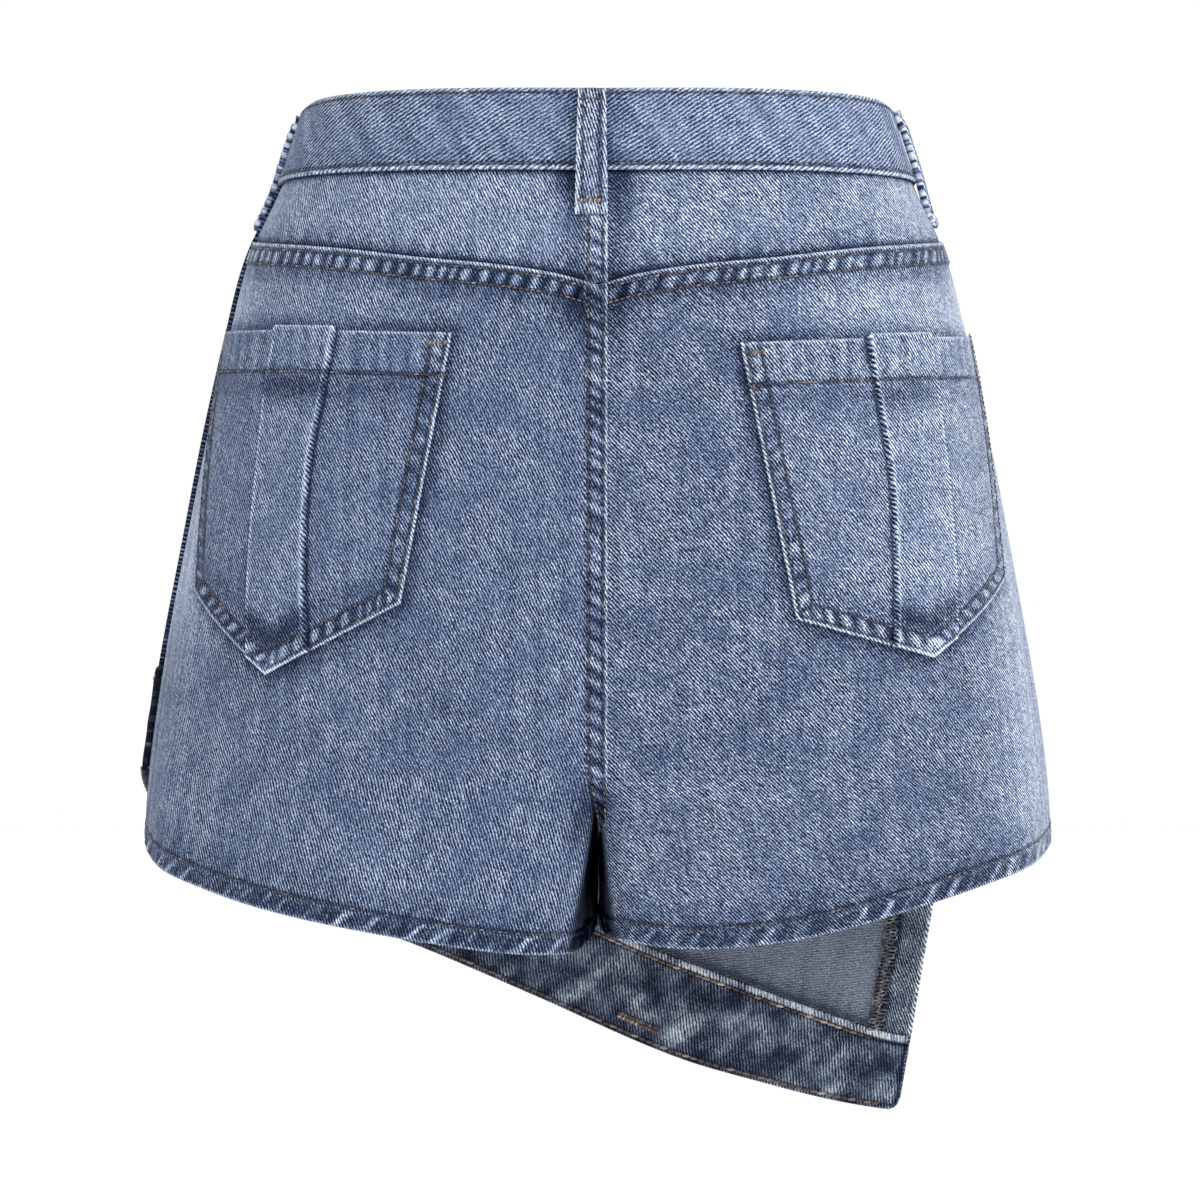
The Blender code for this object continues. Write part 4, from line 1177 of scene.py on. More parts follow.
for side, word, _ in HALVES:
    corner = POCKET_CORNERS[side]
    sides, mouth, inner_side = (
        [corner[place] for place in places]
        for places in (SIDES_AND_POINT, ("inner top", "outer top"), ("inner top", "inner foot")))
    fine = np.linspace(0, 3, 7) / POCKET_HALF
    columns = np.concatenate((np.linspace(0, 1, 44), 1 - np.linspace(0, 10, 15) / POCKET_HALF,
                              PLEAT + fine, PLEAT - fine))
    columns = np.unique(np.round(np.concatenate((-columns, columns)), 5))[None]
    near_mouth, near_foot = np.linspace(0, 3, 6), np.linspace(0, 12, 17)
    near_facing = FACING_ROW + np.linspace(-1.5, 1.5, 5)
    down = np.concatenate((np.linspace(0, 1, 60), near_mouth / POCKET_DEEP,
                           1 - near_foot / POCKET_DEEP, near_facing / POCKET_DEEP))
    down = np.unique(np.round(down, 5))[:, None]
    inner, outer = (smooth(PLEAT_FOLDS[side], down, column) for column in (1, 2))
    fold, far = np.where(columns < 0, -inner, outer), abs(columns)
    beside = fold + (far - PLEAT) / (1 - PLEAT) * (1 - fold)
    across = np.sign(columns) * np.where(far < PLEAT, far / PLEAT * fold, beside)
    along, height = pocket_place(side, across, down + 0 * across)
    from_edge, travelled = path_distance(along, height, sides)
    from_mouth, _ = path_distance(along, height, mouth)
    from_inner, _ = path_distance(along, height, inner_side)
    from_point = np.hypot(along - corner["point"][0], height - corner["point"][1])
    off = pleat_off(side, along, height)

    # Where things are, each from 0 to 1
    in_rows = (between(from_edge, POCKET_ROWS[0], POCKET_ROWS[0] + 1.2)
               * between(from_edge, POCKET_ROWS[1], POCKET_ROWS[1] - 1.2))
    in_facing = between(from_mouth, FACING_ROW, FACING_ROW - 1.5) * between(from_mouth, 0, 3)
    on_pleat = between(off, 1.0, -1.0)
    doubled = (between(from_inner, SEAM_ALLOWANCE, SEAM_ALLOWANCE - 1.0)
               * between(from_mouth, 3.4, 2.6))
    doubled_edge = bump(from_mouth - 3.6, 0.6) * between(from_inner, 13, 12)
    # Painted shade near the pocket's foot, deepest on the pleat
    pleat_foot_shade = bump(from_edge - 13, 5) * between(from_mouth, 90, 110)
    low = mix(0.55, 1.0, between(from_mouth, 92, 114))
    # The pleat's inner fold is marked more strongly than its outer one: a pale crest, partly worn and
    # partly painted highlight, and painted shadow just outside it
    edge_light_and_shade = np.where(across < 0, 1.0, 0.45)
    rows_sunk = sum(bump(from_edge - row, 0.75) for row in POCKET_ROWS)
    facing_sunk = bump(from_mouth - FACING_ROW, 0.8)

    pucker = roping(travelled + 0.5 * from_edge, pitch=6.6, seed=81 + side)
    facing_pucker = roping(along, pitch=8.5, seed=83 + side)
    raised = PLEAT_RISE * between(off, 0.35, -0.35)
    puffed = 0.5 * bump(off + PLEAT_MIDDLE, 9) * between(from_mouth, 30, 70)
    lift = (raised + puffed + marks(off, ((-0.7, 0.7, 0.25), (0.8, 0.6, -0.3)))
            + marks(from_mouth, ((0.0, 0.45, -0.5), (1.2, 1.0, 0.25))) - 0.6 * bump(from_edge, 0.45)
            - ROW_SINK * (rows_sunk + facing_sunk) + 0.28 * in_rows * pucker
            + 0.12 * in_facing * facing_pucker + 0.5 * doubled)
    fade = (0.34 * bump(from_edge - 0.6, 0.8) + 0.24 * bump(from_mouth - 0.6, 0.7)
            + 0.28 * bump(from_point, 8) + 0.26 * doubled_edge + 0.05 * on_pleat
            + in_rows * (0.36 * low * pucker - 0.08) + 0.10 * in_facing * facing_pucker
            - 0.34 * np.minimum(rows_sunk, 1) - 0.34 * facing_sunk
            - FACING_SHADE[side] * bump(from_mouth - 24, 6) * (0.3 + 0.7 * on_pleat)
            - pleat_foot_shade * (0.32 * on_pleat + 0.08)
            # pale crest on the fold, partly worn and partly painted highlight; painted shadow just
            # outside the fold
            + 0.24 * edge_light_and_shade**0.3 * bump(off + 0.8, 0.9) - 0.36 * edge_light_and_shade * bump(off - 1.1, 1.0)
            + 0.05 * streaks(along, height, seed=85 + side)
            # painted light on the right pocket's outer half, nearest the lamp
            + 0.10 * between(along, 120, 170) * (side == RIGHT))
    stands = PLEAT_STANDS * on_pleat * between(from_mouth, 12, 0)
    points, _ = pocket_point(side, along, height + stands, LAID_ON + POCKET_CLOTH + 0 * along)
    patch = {"points": points, "place": np.stack((side * along, height), axis=-1), "lift": lift,
             "fade": fade}
    mesh = cloth_mesh(f"pocket_{word}_cloth", patch)
    made = cloth_piece(f"pocket_{word}_cloth", mesh, pocket_face[side], wrong_side, POCKET_CLOTH)

    def pocket_row(corners, tint, side=side):
        x, y = walked(corners)
        over = PLEAT_RISE * between(pleat_off(side, x, y), 0.35, -0.35)
        line, away = pocket_point(side, x, y, LAID_ON + POCKET_CLOTH - ROW_SINK + 0.22 + over)
        return line, away, tint

    rows = [pocket_row(inset_path(sides, inset), 0.05) for inset in POCKET_ROWS]
    rows.append(pocket_row(inset_path(mouth, -FACING_ROW), 0.2))
    sewn = stitches(f"pocket_{word}_stitching", rows, pitch=2.4, seed=87 + side)
    first, last, deep = MOUTH_TACK
    tacks = []
    for end, sign in (("inner top", 1), ("outer top", -1)):
        x, y = corner[end]
        tacks.append(pocket_row([(x + sign * first, y - deep), (x + sign * last, y - deep)], 0.4))
    tacked = stitches(f"pocket_{word}_bartacks", tacks, pitch=0.55, length=2.0, turn=1.25,
                      seed=89 + side)
    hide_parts(f"pocket_{word}")

# ------------------------------------------------------------------------------------------------
# Apron
# One large layer of denim across the front, caught in the left side seam and under the waistband.
# Its free edge on the wearer's right is turned in, and its foot is cut on a slant for the band.
# ------------------------------------------------------------------------------------------------

APRON_GAP = ((-35, 0.4), (-80, 0.9), (-450, 1.4))    # height, space between it and the shorts
FREE_EDGE_GAP = 2.7    # further space at its free edge, over the turning
FREE_EDGE_LIFT = (13, 30)                # degrees from that edge: space full, and space ended
APRON_LEFT = 88.5      # angle of the edge that is caught at the left side seam
FREE_EDGE = (
    # height, angle
    (-35, 250.0), (-120, 245.0), (-200, 238.5), (-280, 232.0), (-354, 225.8), (-450, 220.4),
)
SLANT = (
    # angle, height of the lower edge
    (88.5, -291.0), (120, -324.0), (140, -353.0), (157.5, -376.8), (171.5, -398.2),
    (190, -426.1), (203, -439.4), (213, -446.5), (222, -449.5), (250, -450.0),
)
SLANT_BAND = ((88, 47.0), (190, 47.0), (207, 42.0), (222, 35.5), (250, 35.5))  # angle, band depth
EDGE_ROWS = (3.0, 16.5)                  # rows of stitching in from the free edge
INTO_BAND = 1.2        # how far its foot runs into the fold of the band
SEAM_DYE = 0.36        # dye kept where it turns into the left side seam
SEAM_DYE_WIDTH = 14
THIGH_WEAR = 0.14      # how much paler it is where a thigh lifts it
THIGH = (190, 100, -190, 110)            # that place: distance along, its reach, height, its reach

# Washed a little further than the back, with plain clear lines
apron_face = denim("washed denim face, apron", 48, 0.50)


def free_edge_angle(height):
    return smooth(FREE_EDGE, height)


def apron_angle(across, height):
    return mix(APRON_LEFT, free_edge_angle(height), across)


def slant_height(across, above_band):
    """Height of the apron's lower edge, or of the top of its band, at a share of its width."""
    height = smooth(SLANT, 180 + 0 * across)
    for _ in range(12):
        angle = apron_angle(across, height)
        height = smooth(SLANT, angle) + (smooth(SLANT_BAND, angle) if above_band else 0.0)
    return height


def apron_point(across, height, inwards=0.0):
    """Points of the apron's outer face, or that far inside it."""
    across, height = np.broadcast_arrays(np.asarray(across, float), np.asarray(height, float))
    angle = apron_angle(across, height)
    full, none = FREE_EDGE_LIFT
    gap = smooth(APRON_GAP, height)
    gap = gap + FREE_EDGE_GAP * between(free_edge_angle(height) - angle, none, full)
    return form_point(angle, height, gap + DENIM - inwards)


def apron_top(across):
    return waist_foot(apron_angle(across, WAIST_FOOT[1][1] + 0 * across)) - SEAM


def distance_along(points):
    """Distance along each row of a grid of points."""
    steps = np.linalg.norm(np.diff(points, axis=1), axis=2)
    return np.concatenate((np.zeros((len(points), 1)), np.cumsum(steps, axis=1)), axis=1)


across = np.concatenate((np.linspace(0, 0.94, 190), np.linspace(0.94, 1, 36)[1:]))
tops, feet = apron_top(across), slant_height(across, True) - INTO_BAND
heights = rows_down(tops, feet, np.linspace(0, 5, 7), 78)
points = apron_point(across + 0 * heights, heights)
along = distance_along(points)
from_edge, above = along[:, -1:] - along, heights - feet
crease = crease_rise(points)
edge_band = (between(from_edge, EDGE_ROWS[0], EDGE_ROWS[0] + 1.5)
             * between(from_edge, EDGE_ROWS[1], EDGE_ROWS[1] - 2))
pucker = roping(heights + 0.4 * from_edge, pitch=10.0, seed=91)
foot_pucker = roping(along, pitch=9.0, seed=92)
rows_sunk = sum(bump(from_edge - row, 0.9) for row in EDGE_ROWS)
thigh = bump(along - THIGH[0], THIGH[1]) * bump(heights - THIGH[2], THIGH[3])
# Dye kept at the side seam and in the rows of stitching; just above the band, painted shadow of the
# band's roll
dyed_and_shaded = (SEAM_DYE * bump(along, SEAM_DYE_WIDTH) + 0.18 * np.minimum(rows_sunk, 1)
        + 0.34 * bump(above - INTO_BAND, 3.0) + 0.12 * bump(above - 6, 5) * (0.5 + 0.5 * foot_pucker))
patch = {
    "points": points, "place": np.stack((along, heights), axis=-1),
    "lift": (crease + 0.22 * edge_band * pucker - ROW_SINK * rows_sunk
             - 0.3 * bump(above, 1.2) - 0.4 * bump(from_edge, 0.6)),
    "fade": (CREASE_FADE * crease + 0.30 * bump(from_edge - 0.6, 1.0) + THIGH_WEAR * thigh - dyed_and_shaded
             + edge_band * (0.18 * pucker - 0.04) + 0.05 * streaks(along, heights, seed=93)),
}
mesh = cloth_mesh("apron_cloth", patch)
made = cloth_piece("apron_cloth", mesh, apron_face, wrong_side, DENIM)


def share_from_edge(height, distance):
    """The share of the apron's width that lies this far in from its free edge."""
    near = np.linalg.norm(apron_point(1.0, height) - apron_point(0.98, height), axis=-1)
    return 1 - 0.02 * distance / near


rows = []
for inset in EDGE_ROWS:
    way = np.linspace(tops[-1] - 3, feet[-1] + 1, 300)
    at = share_from_edge(way, inset)
    away = facing(apron_point, at, way, 0.003, 1.0)
    rows.append((apron_point(at, way) + away * 0.1, away, 0.5))
sewn = stitches("apron_stitching", rows, seed=95)
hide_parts("apron")

# ------------------------------------------------------------------------------------------------
# Apron band
# A folded strip of denim, 47 mm deep and 35 at the low corner, with its face on both sides. It
# encloses the apron's foot; a puffed roll stands above its upper row of thick tobacco stitches.
# ------------------------------------------------------------------------------------------------

BAND_ROLL = 5.0        # height of the roll on its inner side, above the upper row
BAND_FOOT_ROW = 2.2    # the lower row, above the folded edge
BAND_EDGE = 1.6        # radius of its two folds
SLANT_DEPTH = 45.0     # its usual depth, for spacing its rows of faces
TACK_ANGLES = (182.6, 188.0)             # ends of the bartack that holds the band's join
TACK_HEIGHT = -415.0                     # rough height of that bartack
TACK_ABOVE = 8.6                         # its height above the lower edge
TACK_PASSES = ((-0.8, 0.8), (0.9, 0.0))  # its two passes: height about its middle, tint
END_ROUND = 5.0        # rounding of its low corner
INNER_INDIGO = (
    (0.0, "#0a0e1c"), (0.18, "#1a233c"), (0.34, "#303b54"), (0.5, "#535e70"),
    (0.66, "#778392"), (0.82, "#9fa9b5"), (1.0, "#d4dae0"),
)

# The outer face is mottled by the wash; the inner one saw less sun, so it stays a cloudy, greyer
# indigo with upright lines
outer_band = denim("washed denim face, apron band", 48, 0.42, cloud=0.5)
inner_band = denim("washed denim face, inside of the apron band", 104, 0.38, stops=INNER_INDIGO,
                   contrast=0.66, pitch=1.4, cloud=1.5, cloud_size=15, grain=0.7)


def band_profile(depth):
    """The band's section, from its top fold down the outer face, round the foot and up the inner
    face: share of its depth, distance inside the outer face, and 1 on the inner side."""
    near = np.linspace(BAND_EDGE, 9, 11)
    face_rows = np.concatenate((near, np.linspace(9, depth - 9, 14)[1:-1], depth - near[::-1]))
    half_turn = np.radians(np.linspace(0, 180, 9))[1:-1]
    round_down = depth - BAND_EDGE + BAND_EDGE * np.sin(half_turn)
    round_in = BAND_EDGE * (1 - np.cos(half_turn))
    down = np.concatenate((face_rows, round_down, face_rows[::-1], depth - round_down[::-1],
                           face_rows[:1]))
    inside = np.concatenate((0 * face_rows, round_in, 2 * BAND_EDGE + 0 * face_rows,
                             round_in[::-1], [0.0]))
    inner = np.concatenate((0 * face_rows, 0.5 + 0 * round_in, 1 + 0 * face_rows,
                            0.5 + 0 * round_in, [0.0]))
    return down / depth, inside, inner


across = np.linspace(0, 1, 620)[None]
share_down, inside, inner = (column[:, None] for column in band_profile(SLANT_DEPTH))
top, foot = slant_height(across, True), slant_height(across, False)
edge_way = distance_along(apron_point(across, foot))
in_round = np.clip(1 - (edge_way[:, -1:] - edge_way) / END_ROUND, 0, 1)
foot = foot + END_ROUND * (1 - np.sqrt(1 - in_round**2))
heights = mix(top, foot, share_down)
points = apron_point(across + 0 * heights, heights, inside - (FOLDED - DENIM) / 2)
outer_face = apron_point(across, mix(top, foot, 0.5))
along = distance_along(outer_face) + 0 * heights
from_top, from_foot = top - heights, heights - foot
from_end = along[:, -1:] - along
ribs = roping(along, pitch=3.0, seed=101)
slow = roping(along, pitch=30.0, seed=103)
pucker = roping(along + 0.8 * from_top, pitch=12.0, seed=102)
is_inner, is_outer = (inner > 0.75).astype(float), (inner < 0.25).astype(float)
roll = between(from_top, 0, 1.2) * between(from_top, BAND_ROLL, BAND_ROLL - 1.4)
top_row = bump(from_top - BAND_ROLL - 0.3, 0.9)
foot_row = bump(from_foot - BAND_FOOT_ROW, 0.8)
inner_puckers = 0.35 * pucker * between(from_foot, 0, 4) * between(from_top, 5, 10)
lift = (is_inner * (1.5 * roll + 0.3 * roll * ribs - 0.7 * top_row + inner_puckers)
        + is_outer * (0.3 * roll - ROW_SINK * top_row + 0.15 * pucker) - ROW_SINK * foot_row)
fade = (is_inner * (roll * (0.34 + 0.14 * ribs + 0.10 * slow) - 0.40 * top_row)
        + is_outer * (0.20 * bump(from_top - 1.2, 1.2) - 0.2 * top_row)
        - 0.30 * foot_row - 0.10 * bump(from_foot, 4) + 0.07 * pucker * between(from_top, 5, 11)
        - 0.40 * bump(from_end - 1.4, 1.5) - SEAM_DYE * bump(along, SEAM_DYE_WIDTH))
patch = {"points": points, "place": np.stack((along, heights), axis=-1), "lift": lift,
         "fade": fade}
mesh = cloth_mesh("apron_band_cloth", patch)
closed = bmesh.new()
closed.from_mesh(mesh)
bmesh.ops.holes_fill(closed, edges=[edge for edge in closed.edges if edge.is_boundary])
bmesh.ops.recalc_face_normals(closed, faces=closed.faces)
closed.to_mesh(mesh)
closed.free()
mesh.shade_smooth()
mesh.materials.append(outer_band)
mesh.materials.append(inner_band)
made = placed("apron_band_cloth", mesh)
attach(made, "root")
for face in mesh.polygons:
    sideways = face.normal.x * face.center.x + face.normal.y * face.center.y
    face.material_index = 1 if sideways < 0 else 0


def slant_row(above, side_in, ends, tint, from_top=False, lift=0.0):
    """A row of stitches along the band, on its outer face (0) or its inner one (1)."""
    at = np.linspace(*ends, 420)
    edge = slant_height(at, from_top)
    height = edge - above if from_top else edge + above
    depth = -(FOLDED - DENIM) / 2 + FOLDED * side_in
    away = facing(apron_point, at, height, 0.003, 1.0) * (1 - 2 * side_in)
    return apron_point(at, height, depth) + away * lift, away, tint


edge_angle = float(free_edge_angle(np.array(TACK_HEIGHT)))
tack_ends = [(angle - APRON_LEFT) / (edge_angle - APRON_LEFT) for angle in TACK_ANGLES]
rows, tacks = [], []
for side_in in (0, 1):
    rows.append(slant_row(BAND_ROLL + 0.3, side_in, (0.004, 0.955), 0.75, from_top=True))
    rows.append(slant_row(BAND_FOOT_ROW, side_in, (0.004, 0.975), 0.4))
    for offset, tint in TACK_PASSES:
        tacks.append(slant_row(TACK_ABOVE + offset, side_in, tack_ends, tint, lift=0.35))
sewn = stitches("apron_band_stitching", rows, pitch=3.6, length=4.3, width=1.6, turn=0.06,
                seed=105)
tacked = stitches("apron_band_bartack", tacks, pitch=0.7, length=2.3, width=1.9, turn=0.3,
                  seed=107)
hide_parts("apron_band")

# ------------------------------------------------------------------------------------------------
# Apron's turned edge
# The apron's free edge is folded in by 19 mm, so that the denim's face shows on the inside, and its
# raw edge is overlocked with grey thread that loops over it in a ragged zigzag.
# ------------------------------------------------------------------------------------------------

TURNING = 19.0         # its width
FOLD_RADIUS = DENIM + SEAM / 2           # half the thickness of the fold
FOLD_START = 0.8                         # where the fold begins, in from the free edge
FOLD_PROUD = 0.9                         # how far it reaches past that edge
TURNING_CLOTH = 1.0
OVERLOCK_WIDTH = 7.4                     # how far in its loops reach, before they are made ragged
OVERLOCK_PITCH = 1.7                     # distance from loop to loop
OVERLOCK_THREAD = 0.42                   # radius of the thread
OVERLOCK_STEPS = 10                      # points on each of its loops

# The dark, greyer indigo of the inner side again, its lines crossing the others
turning_face = denim("washed denim face, turned edge", 120, 0.42, stops=INNER_INDIGO)

way = np.linspace(tops[-1] - 1, feet[-1] + 1, 190)[:, None]
far_in = np.linspace(TURNING, FOLD_START, 16)
half_turn = np.radians(np.linspace(0, 165, 8))[1:]
insets = np.concatenate((far_in, FOLD_START - (FOLD_START + FOLD_PROUD) * np.sin(half_turn)))[None]
insides = np.concatenate((2 * FOLD_RADIUS + 0 * far_in, FOLD_RADIUS * (1 + np.cos(half_turn))))
sway = 1.3 * roping(way, pitch=34.0, seed=111) * between(insets, 6, 14)
points = apron_point(share_from_edge(way, insets + sway), way + 0 * insets, insides[None])
wave = roping(way, pitch=16.0, seed=112)
under_overlock = between(insets, TURNING - OVERLOCK_WIDTH, TURNING - OVERLOCK_WIDTH + 2)
patch = {
    "points": points, "place": np.stack((-insets + 0 * way, way + 0 * insets), axis=-1),
    "lift": 0.35 * wave * bump(insets - TURNING, 7),
    "fade": (marks(insets, ((-0.6, 0.9, 0.24), (10, 7, 0.10 * wave))) - 0.40 * under_overlock
             + 0.06 * streaks(insets, way, seed=113, spacing=4)),
}
mesh = cloth_mesh("apron_turning_cloth", patch, facing_in=True)
made = cloth_piece("apron_turning_cloth", mesh, turning_face, wrong_side, TURNING_CLOTH)


def overlock_path():
    """The looping line of the overlock thread over the turning's raw edge."""
    rng = np.random.default_rng(115)
    loops = int((way[0, 0] - way[-1, 0]) / OVERLOCK_PITCH)
    turns = np.arange(0, loops, 1 / OVERLOCK_STEPS)
    swing = 0.5 + 0.5 * np.cos(2 * np.pi * turns)
    ragged = np.interp(turns, np.arange(loops + 1), rng.uniform(0.5, 1.2, loops + 1))
    down = way[0, 0] - OVERLOCK_PITCH * (turns + 0.42 * np.sin(4 * np.pi * turns))
    inset = TURNING + 0.6 - OVERLOCK_WIDTH * swing * ragged
    height_over = 2 * FOLD_RADIUS + 0.35 + 0.35 * np.sin(2 * np.pi * turns) ** 2
    return apron_point(share_from_edge(down, inset), down, height_over)


# Spun polyester, grey with darker and lighter lengths where lint and dye have caught in it
grey_thread, tree, shader = new_material("grey overlock thread")
where = add(tree, "ShaderNodeTexCoord").outputs["Object"]
lint = add(tree, "ShaderNodeTexNoise", {"Vector": where, "Scale": 1000 / 3.0, "Detail": 2.0})
give(tree, shader, {
    "Base Color": add(tree, "ShaderNodeValToRGB", {"Fac": lint},
                      ((0.3, "#1c1d24"), (0.5, "#55565e"), (0.7, "#98979b"))),
    "Roughness": 0.7,
})

loop_line = bpy.data.curves.new("overlock line", "CURVE")
loop_line.dimensions = "3D"
loop_line.bevel_depth = OVERLOCK_THREAD * MM
loop_line.bevel_resolution = 0
path = overlock_path()
strand = loop_line.splines.new("POLY")
strand.points.add(len(path) - 1)
strand.points.foreach_set("co", np.column_stack((path * MM, np.ones(len(path)))).ravel())
guide = placed("overlock guide", loop_line)
seen = guide.evaluated_get(bpy.context.evaluated_depsgraph_get())
mesh = bpy.data.meshes.new_from_object(seen)
bpy.data.objects.remove(guide)
mesh.materials.clear()
mesh.materials.append(grey_thread)
mesh.shade_smooth()
overlock = placed("apron_overlock", mesh)
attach(overlock, "root")
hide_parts("apron_turning")

# ------------------------------------------------------------------------------------------------
# Belt loops
# Five narrow strips, folded to 13 mm with a row of stitching along each edge. Each stands off the
# waistband and is bartacked at its top and above its puffed, turned-under lower end.
# ------------------------------------------------------------------------------------------------

LOOP_WIDTHS = (11.6, 13.7)               # at its top and at its lower end
LOOP_CLOTH = 2.0       # distance between its outer and inner faces
LOOP_WALL = 1.5        # wall of its folded cloth
LOOP_HEADROOM = 1.3    # room for a belt between it and the waistband
LOOP_DROP = 19.0       # its length below the waistband
LOOP_TACK = 4.0        # length that is sewn flat at each end
LOOP_ROW = 3.7         # its two rows of stitching, from its middle
LOOP_END = 5.8         # height of the bartack above the lower end
LOOP_HEAD = 5.2        # depth of the upper bartack below its top
LOOP_GROOVE = -2.6     # where the strip's hidden seam shows as a groove

# Steep lines, pale along the rubbed edges; the insides are a darker copy of the same cloth, as
# painted shade
loop_face = denim("washed denim face, belt loops", 74, 0.50, cloud=0.10)
loop_inside_shaded = denim("washed denim face, insides of the belt loops, painted shade", 74, 0.30, cloud=0.10)

for name, middle_angle in BELT_LOOPS:
    at_middle = np.array(middle_angle)
    top, foot = float(waist_top(at_middle)), float(waist_foot(at_middle))
    on_apron = APRON_LEFT - 2 < middle_angle < free_edge_angle(foot)
    seat = (smooth(APRON_GAP, foot - LOOP_DROP) + DENIM if on_apron else 0.0) + LAID_ON
    proud = BAND_PROUD + LAID_ON
    if middle_angle < BAND_LAP:
        proud += (FOLDED + SEAM) / 2 * float(lap_over(middle_angle))
    room, tail = proud + LOOP_HEADROOM, foot - LOOP_DROP
    path = (
        # height, how far the strip's inner face stands off the form
        (top - 0.5, proud), (top - LOOP_TACK, proud), (top - 2 * LOOP_TACK, room),
        (foot + 2 * LOOP_TACK, room), (foot, mix(proud, room, 0.5)),
        (tail + 2 * LOOP_TACK, mix(seat, room, 0.3)), (tail + LOOP_TACK, seat), (tail, seat),
    )

    def loop_point(sideways, height, out=LOOP_CLOTH, middle_angle=middle_angle, path=path):
        stand = np.interp(height, *np.array(sorted(path)).T)
        a_degree = np.linalg.norm(form_point(middle_angle + 0.5, height)
                                  - form_point(middle_angle - 0.5, height), axis=-1)
        return form_point((middle_angle + sideways / a_degree) % 360, height, stand + out)

    height = np.linspace(top - 0.5, tail, 66)[:, None]
    half = np.interp(height, (tail, top), (LOOP_WIDTHS[1] / 2, LOOP_WIDTHS[0] / 2))
    sideways = half * np.sin(np.radians(np.linspace(-90, 90, 21)))[None]
    points = loop_point(sideways, height + 0 * sideways)
    from_tail, from_side = height - tail, half - abs(sideways)
    sunk = bump(abs(sideways) - LOOP_ROW, 0.7)
    groove = bump(sideways - LOOP_GROOVE, 0.6)
    end_tack, end_puff = bump(from_tail - LOOP_END, 0.9), bump(from_tail - 2.9, 2.3)
    ribs = roping(height + 0.4 * sideways, pitch=5.0, seed=121)
    lift = (0.35 * bump(sideways, 3.0) + 0.75 * end_puff + 0.05 * ribs - ROW_SINK * sunk
            - 0.6 * bump(from_side, 0.5) - 0.45 * end_tack - 0.5 * bump(from_tail, 0.6)
            - 0.3 * groove)
    fade = (0.20 * bump(from_side - 0.5, 0.8) + 0.12 * bump(half - sideways - 0.7, 0.9)
            + 0.20 * end_puff + 0.05 * ribs - 0.34 * sunk - 0.3 * end_tack
            - 0.22 * groove * between(from_tail, 9, 12))
    patch = {"points": points, "lift": lift, "fade": fade,
             "place": np.stack((sideways, height + 0 * sideways), axis=-1)}
    mesh = cloth_mesh(name + "_cloth", patch)
    made = cloth_piece(name + "_cloth", mesh, loop_face, loop_inside_shaded, LOOP_WALL)

    def loop_row(sideways, height, tint, lift, loop_point=loop_point):
        away = facing(loop_point, sideways, height, 0.3, 0.6)
        return loop_point(sideways, height) + away * lift, away, tint

    way = np.linspace(top - 1.5, tail + LOOP_END, 90)
    rows = [loop_row(sign * LOOP_ROW + 0 * way, way, tint=0.1, lift=-0.1) for sign in (-1, 1)]
    sewn = stitches(name + "_stitching", rows, pitch=2.3, length=1.9, width=0.6, seed=123)
    wide = np.linspace(1.2 - LOOP_WIDTHS[0] / 2, LOOP_WIDTHS[0] / 2 - 1.2, 40)
    tacks = [loop_row(wide, at + 0 * wide, tint, lift=0.1)
             for at, tint in ((tail + LOOP_END, 0.8), (top - LOOP_HEAD, 0.0))]
    tacked = stitches(name + "_bartacks", tacks, pitch=0.6, length=1.9, turn=1.25, seed=125)
    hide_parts(name)

# ------------------------------------------------------------------------------------------------
# Waist button
# A turned metal tack button fixed through the waistband's lap, in brass that the wash has dulled.
# ------------------------------------------------------------------------------------------------

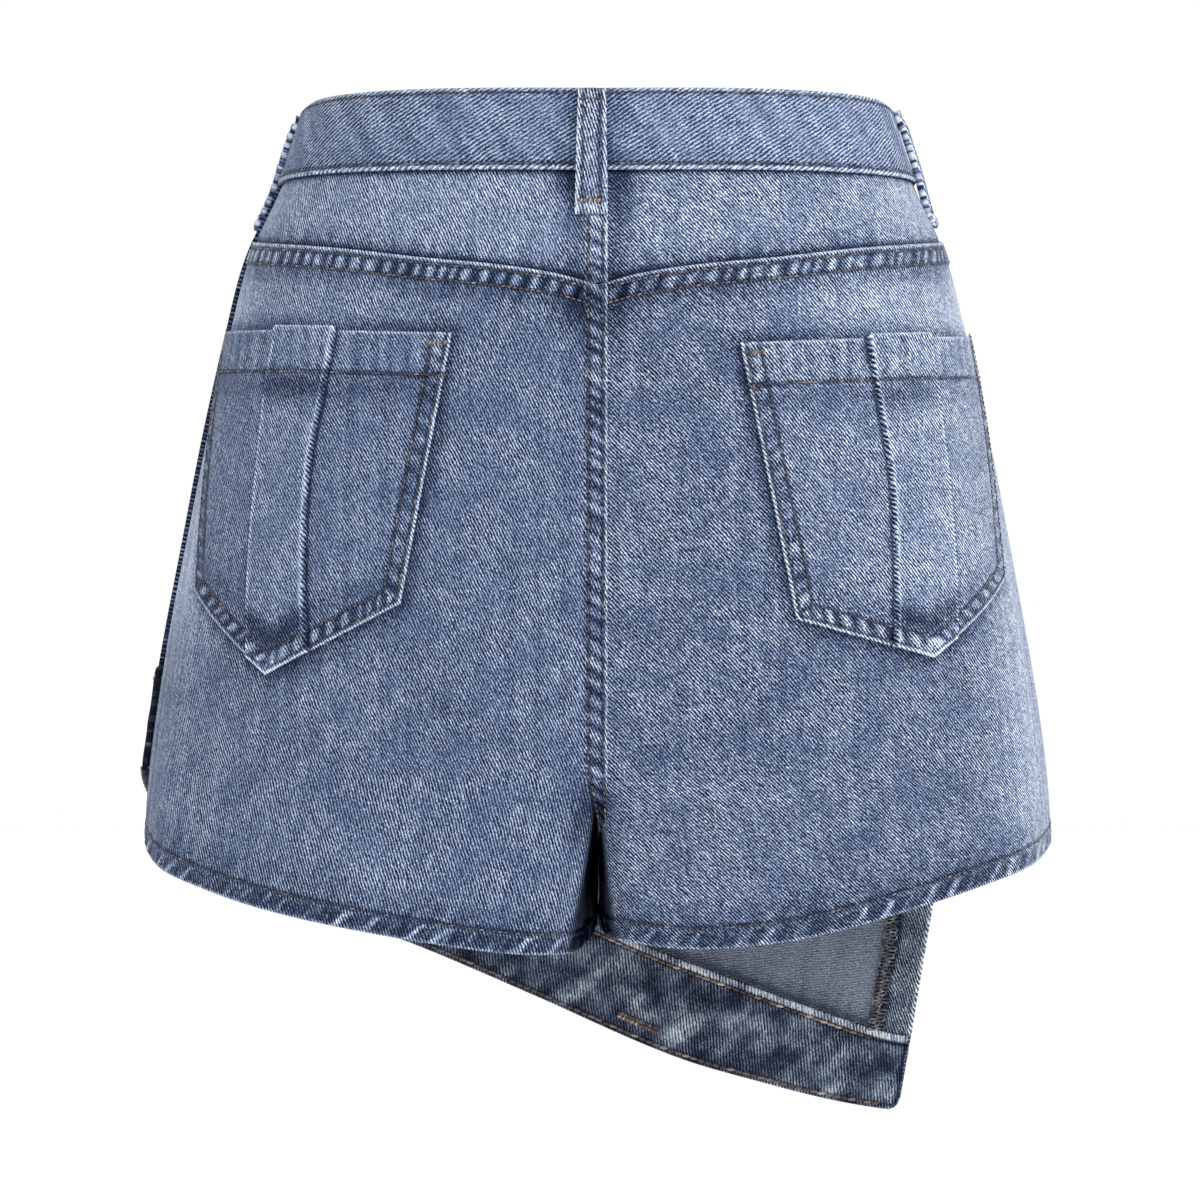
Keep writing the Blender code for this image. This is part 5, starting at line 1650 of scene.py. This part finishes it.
# Brass, turned and then tarnished by washing: a dull yellow-brown metal with soft highlights
old_brass, tree, metal = new_material("aged brass, dulled by the wash")
where = add(tree, "ShaderNodeTexCoord").outputs["Object"]
tarnish = add(tree, "ShaderNodeTexNoise", {"Vector": where, "Scale": 1000 / 2.5, "Detail": 3.0})
give(tree, metal, {
    "Base Color": add(tree, "ShaderNodeValToRGB", {"Fac": tarnish},
                      ((0.3, "#5a4a33"), (0.55, "#8f7444"), (0.75, "#b79a62"))),
    "Metallic": 1.0,
    "Roughness": 0.38,
})
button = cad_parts["waist_button"]
button.data.materials.clear()
button.data.materials.append(old_brass)

# ------------------------------------------------------------------------------------------------
# Stage
# A pale studio floor below the hanging garment, soft light from all round and a large lamp high on
# the right of the camera, which stands level with the hips.
# ------------------------------------------------------------------------------------------------

FLOOR_DROP = 0.72                        # metres from the waist down to the floor
FLOOR_REACH = 8.0
CAMERA = (-0.0009, 2.0, -0.2154)         # behind the garment, level with the hips
HALF_VIEW = 0.264                        # metres across half the picture at the garment's middle
SENSOR = 36.0                            # millimetres
AIM = 0.35                               # height that the lamps point at, as a share of the drop
LAMPS = (
    # name, place, size in metres, power
    ("key", (-1.6, 1.6, 0.9), 0.9, 30),
    ("fill", (1.6, 1.5, 0.3), 1.4, 5),
)

# Matt white paper, which the picture shows as plain white
paper, tree, shader = new_material("white studio paper")
give(tree, shader, {"Base Color": linear("#ffffff"), "Roughness": 0.9})
corners = [(x * FLOOR_REACH, y * FLOOR_REACH, 0) for x, y in ((-1, -1), (1, -1), (1, 1), (-1, 1))]
floor_mesh = bpy.data.meshes.new("floor")
floor_mesh.from_pydata(corners, [], [(0, 1, 2, 3)])
floor_mesh.materials.append(paper)
floor = placed("floor", floor_mesh)
floor.location.z = -FLOOR_DROP

world = bpy.data.worlds.new("white studio")
bpy.context.scene.world = world
world.use_nodes = True
give(world.node_tree, world.node_tree.nodes["Background"],
     {"Color": linear("#ffffff"), "Strength": 1.0})

for name, place, size, power in LAMPS:
    light = bpy.data.lights.new(name, "AREA")
    light.size = size
    light.energy = power
    lamp = placed(name, light)
    lamp.location = place
    lamp.rotation_euler = (lamp.location - floor.location * AIM).to_track_quat("Z", "Y").to_euler()

bpy.context.scene.view_settings.view_transform = "Standard"
camera = bpy.data.cameras.new("camera")
camera.sensor_width = SENSOR
camera.lens = SENSOR / 2 / (HALF_VIEW / CAMERA[1])
eye = placed("camera", camera)
eye.location = CAMERA
eye.rotation_euler = (math.radians(90), 0, math.radians(180))
bpy.context.scene.camera = eye
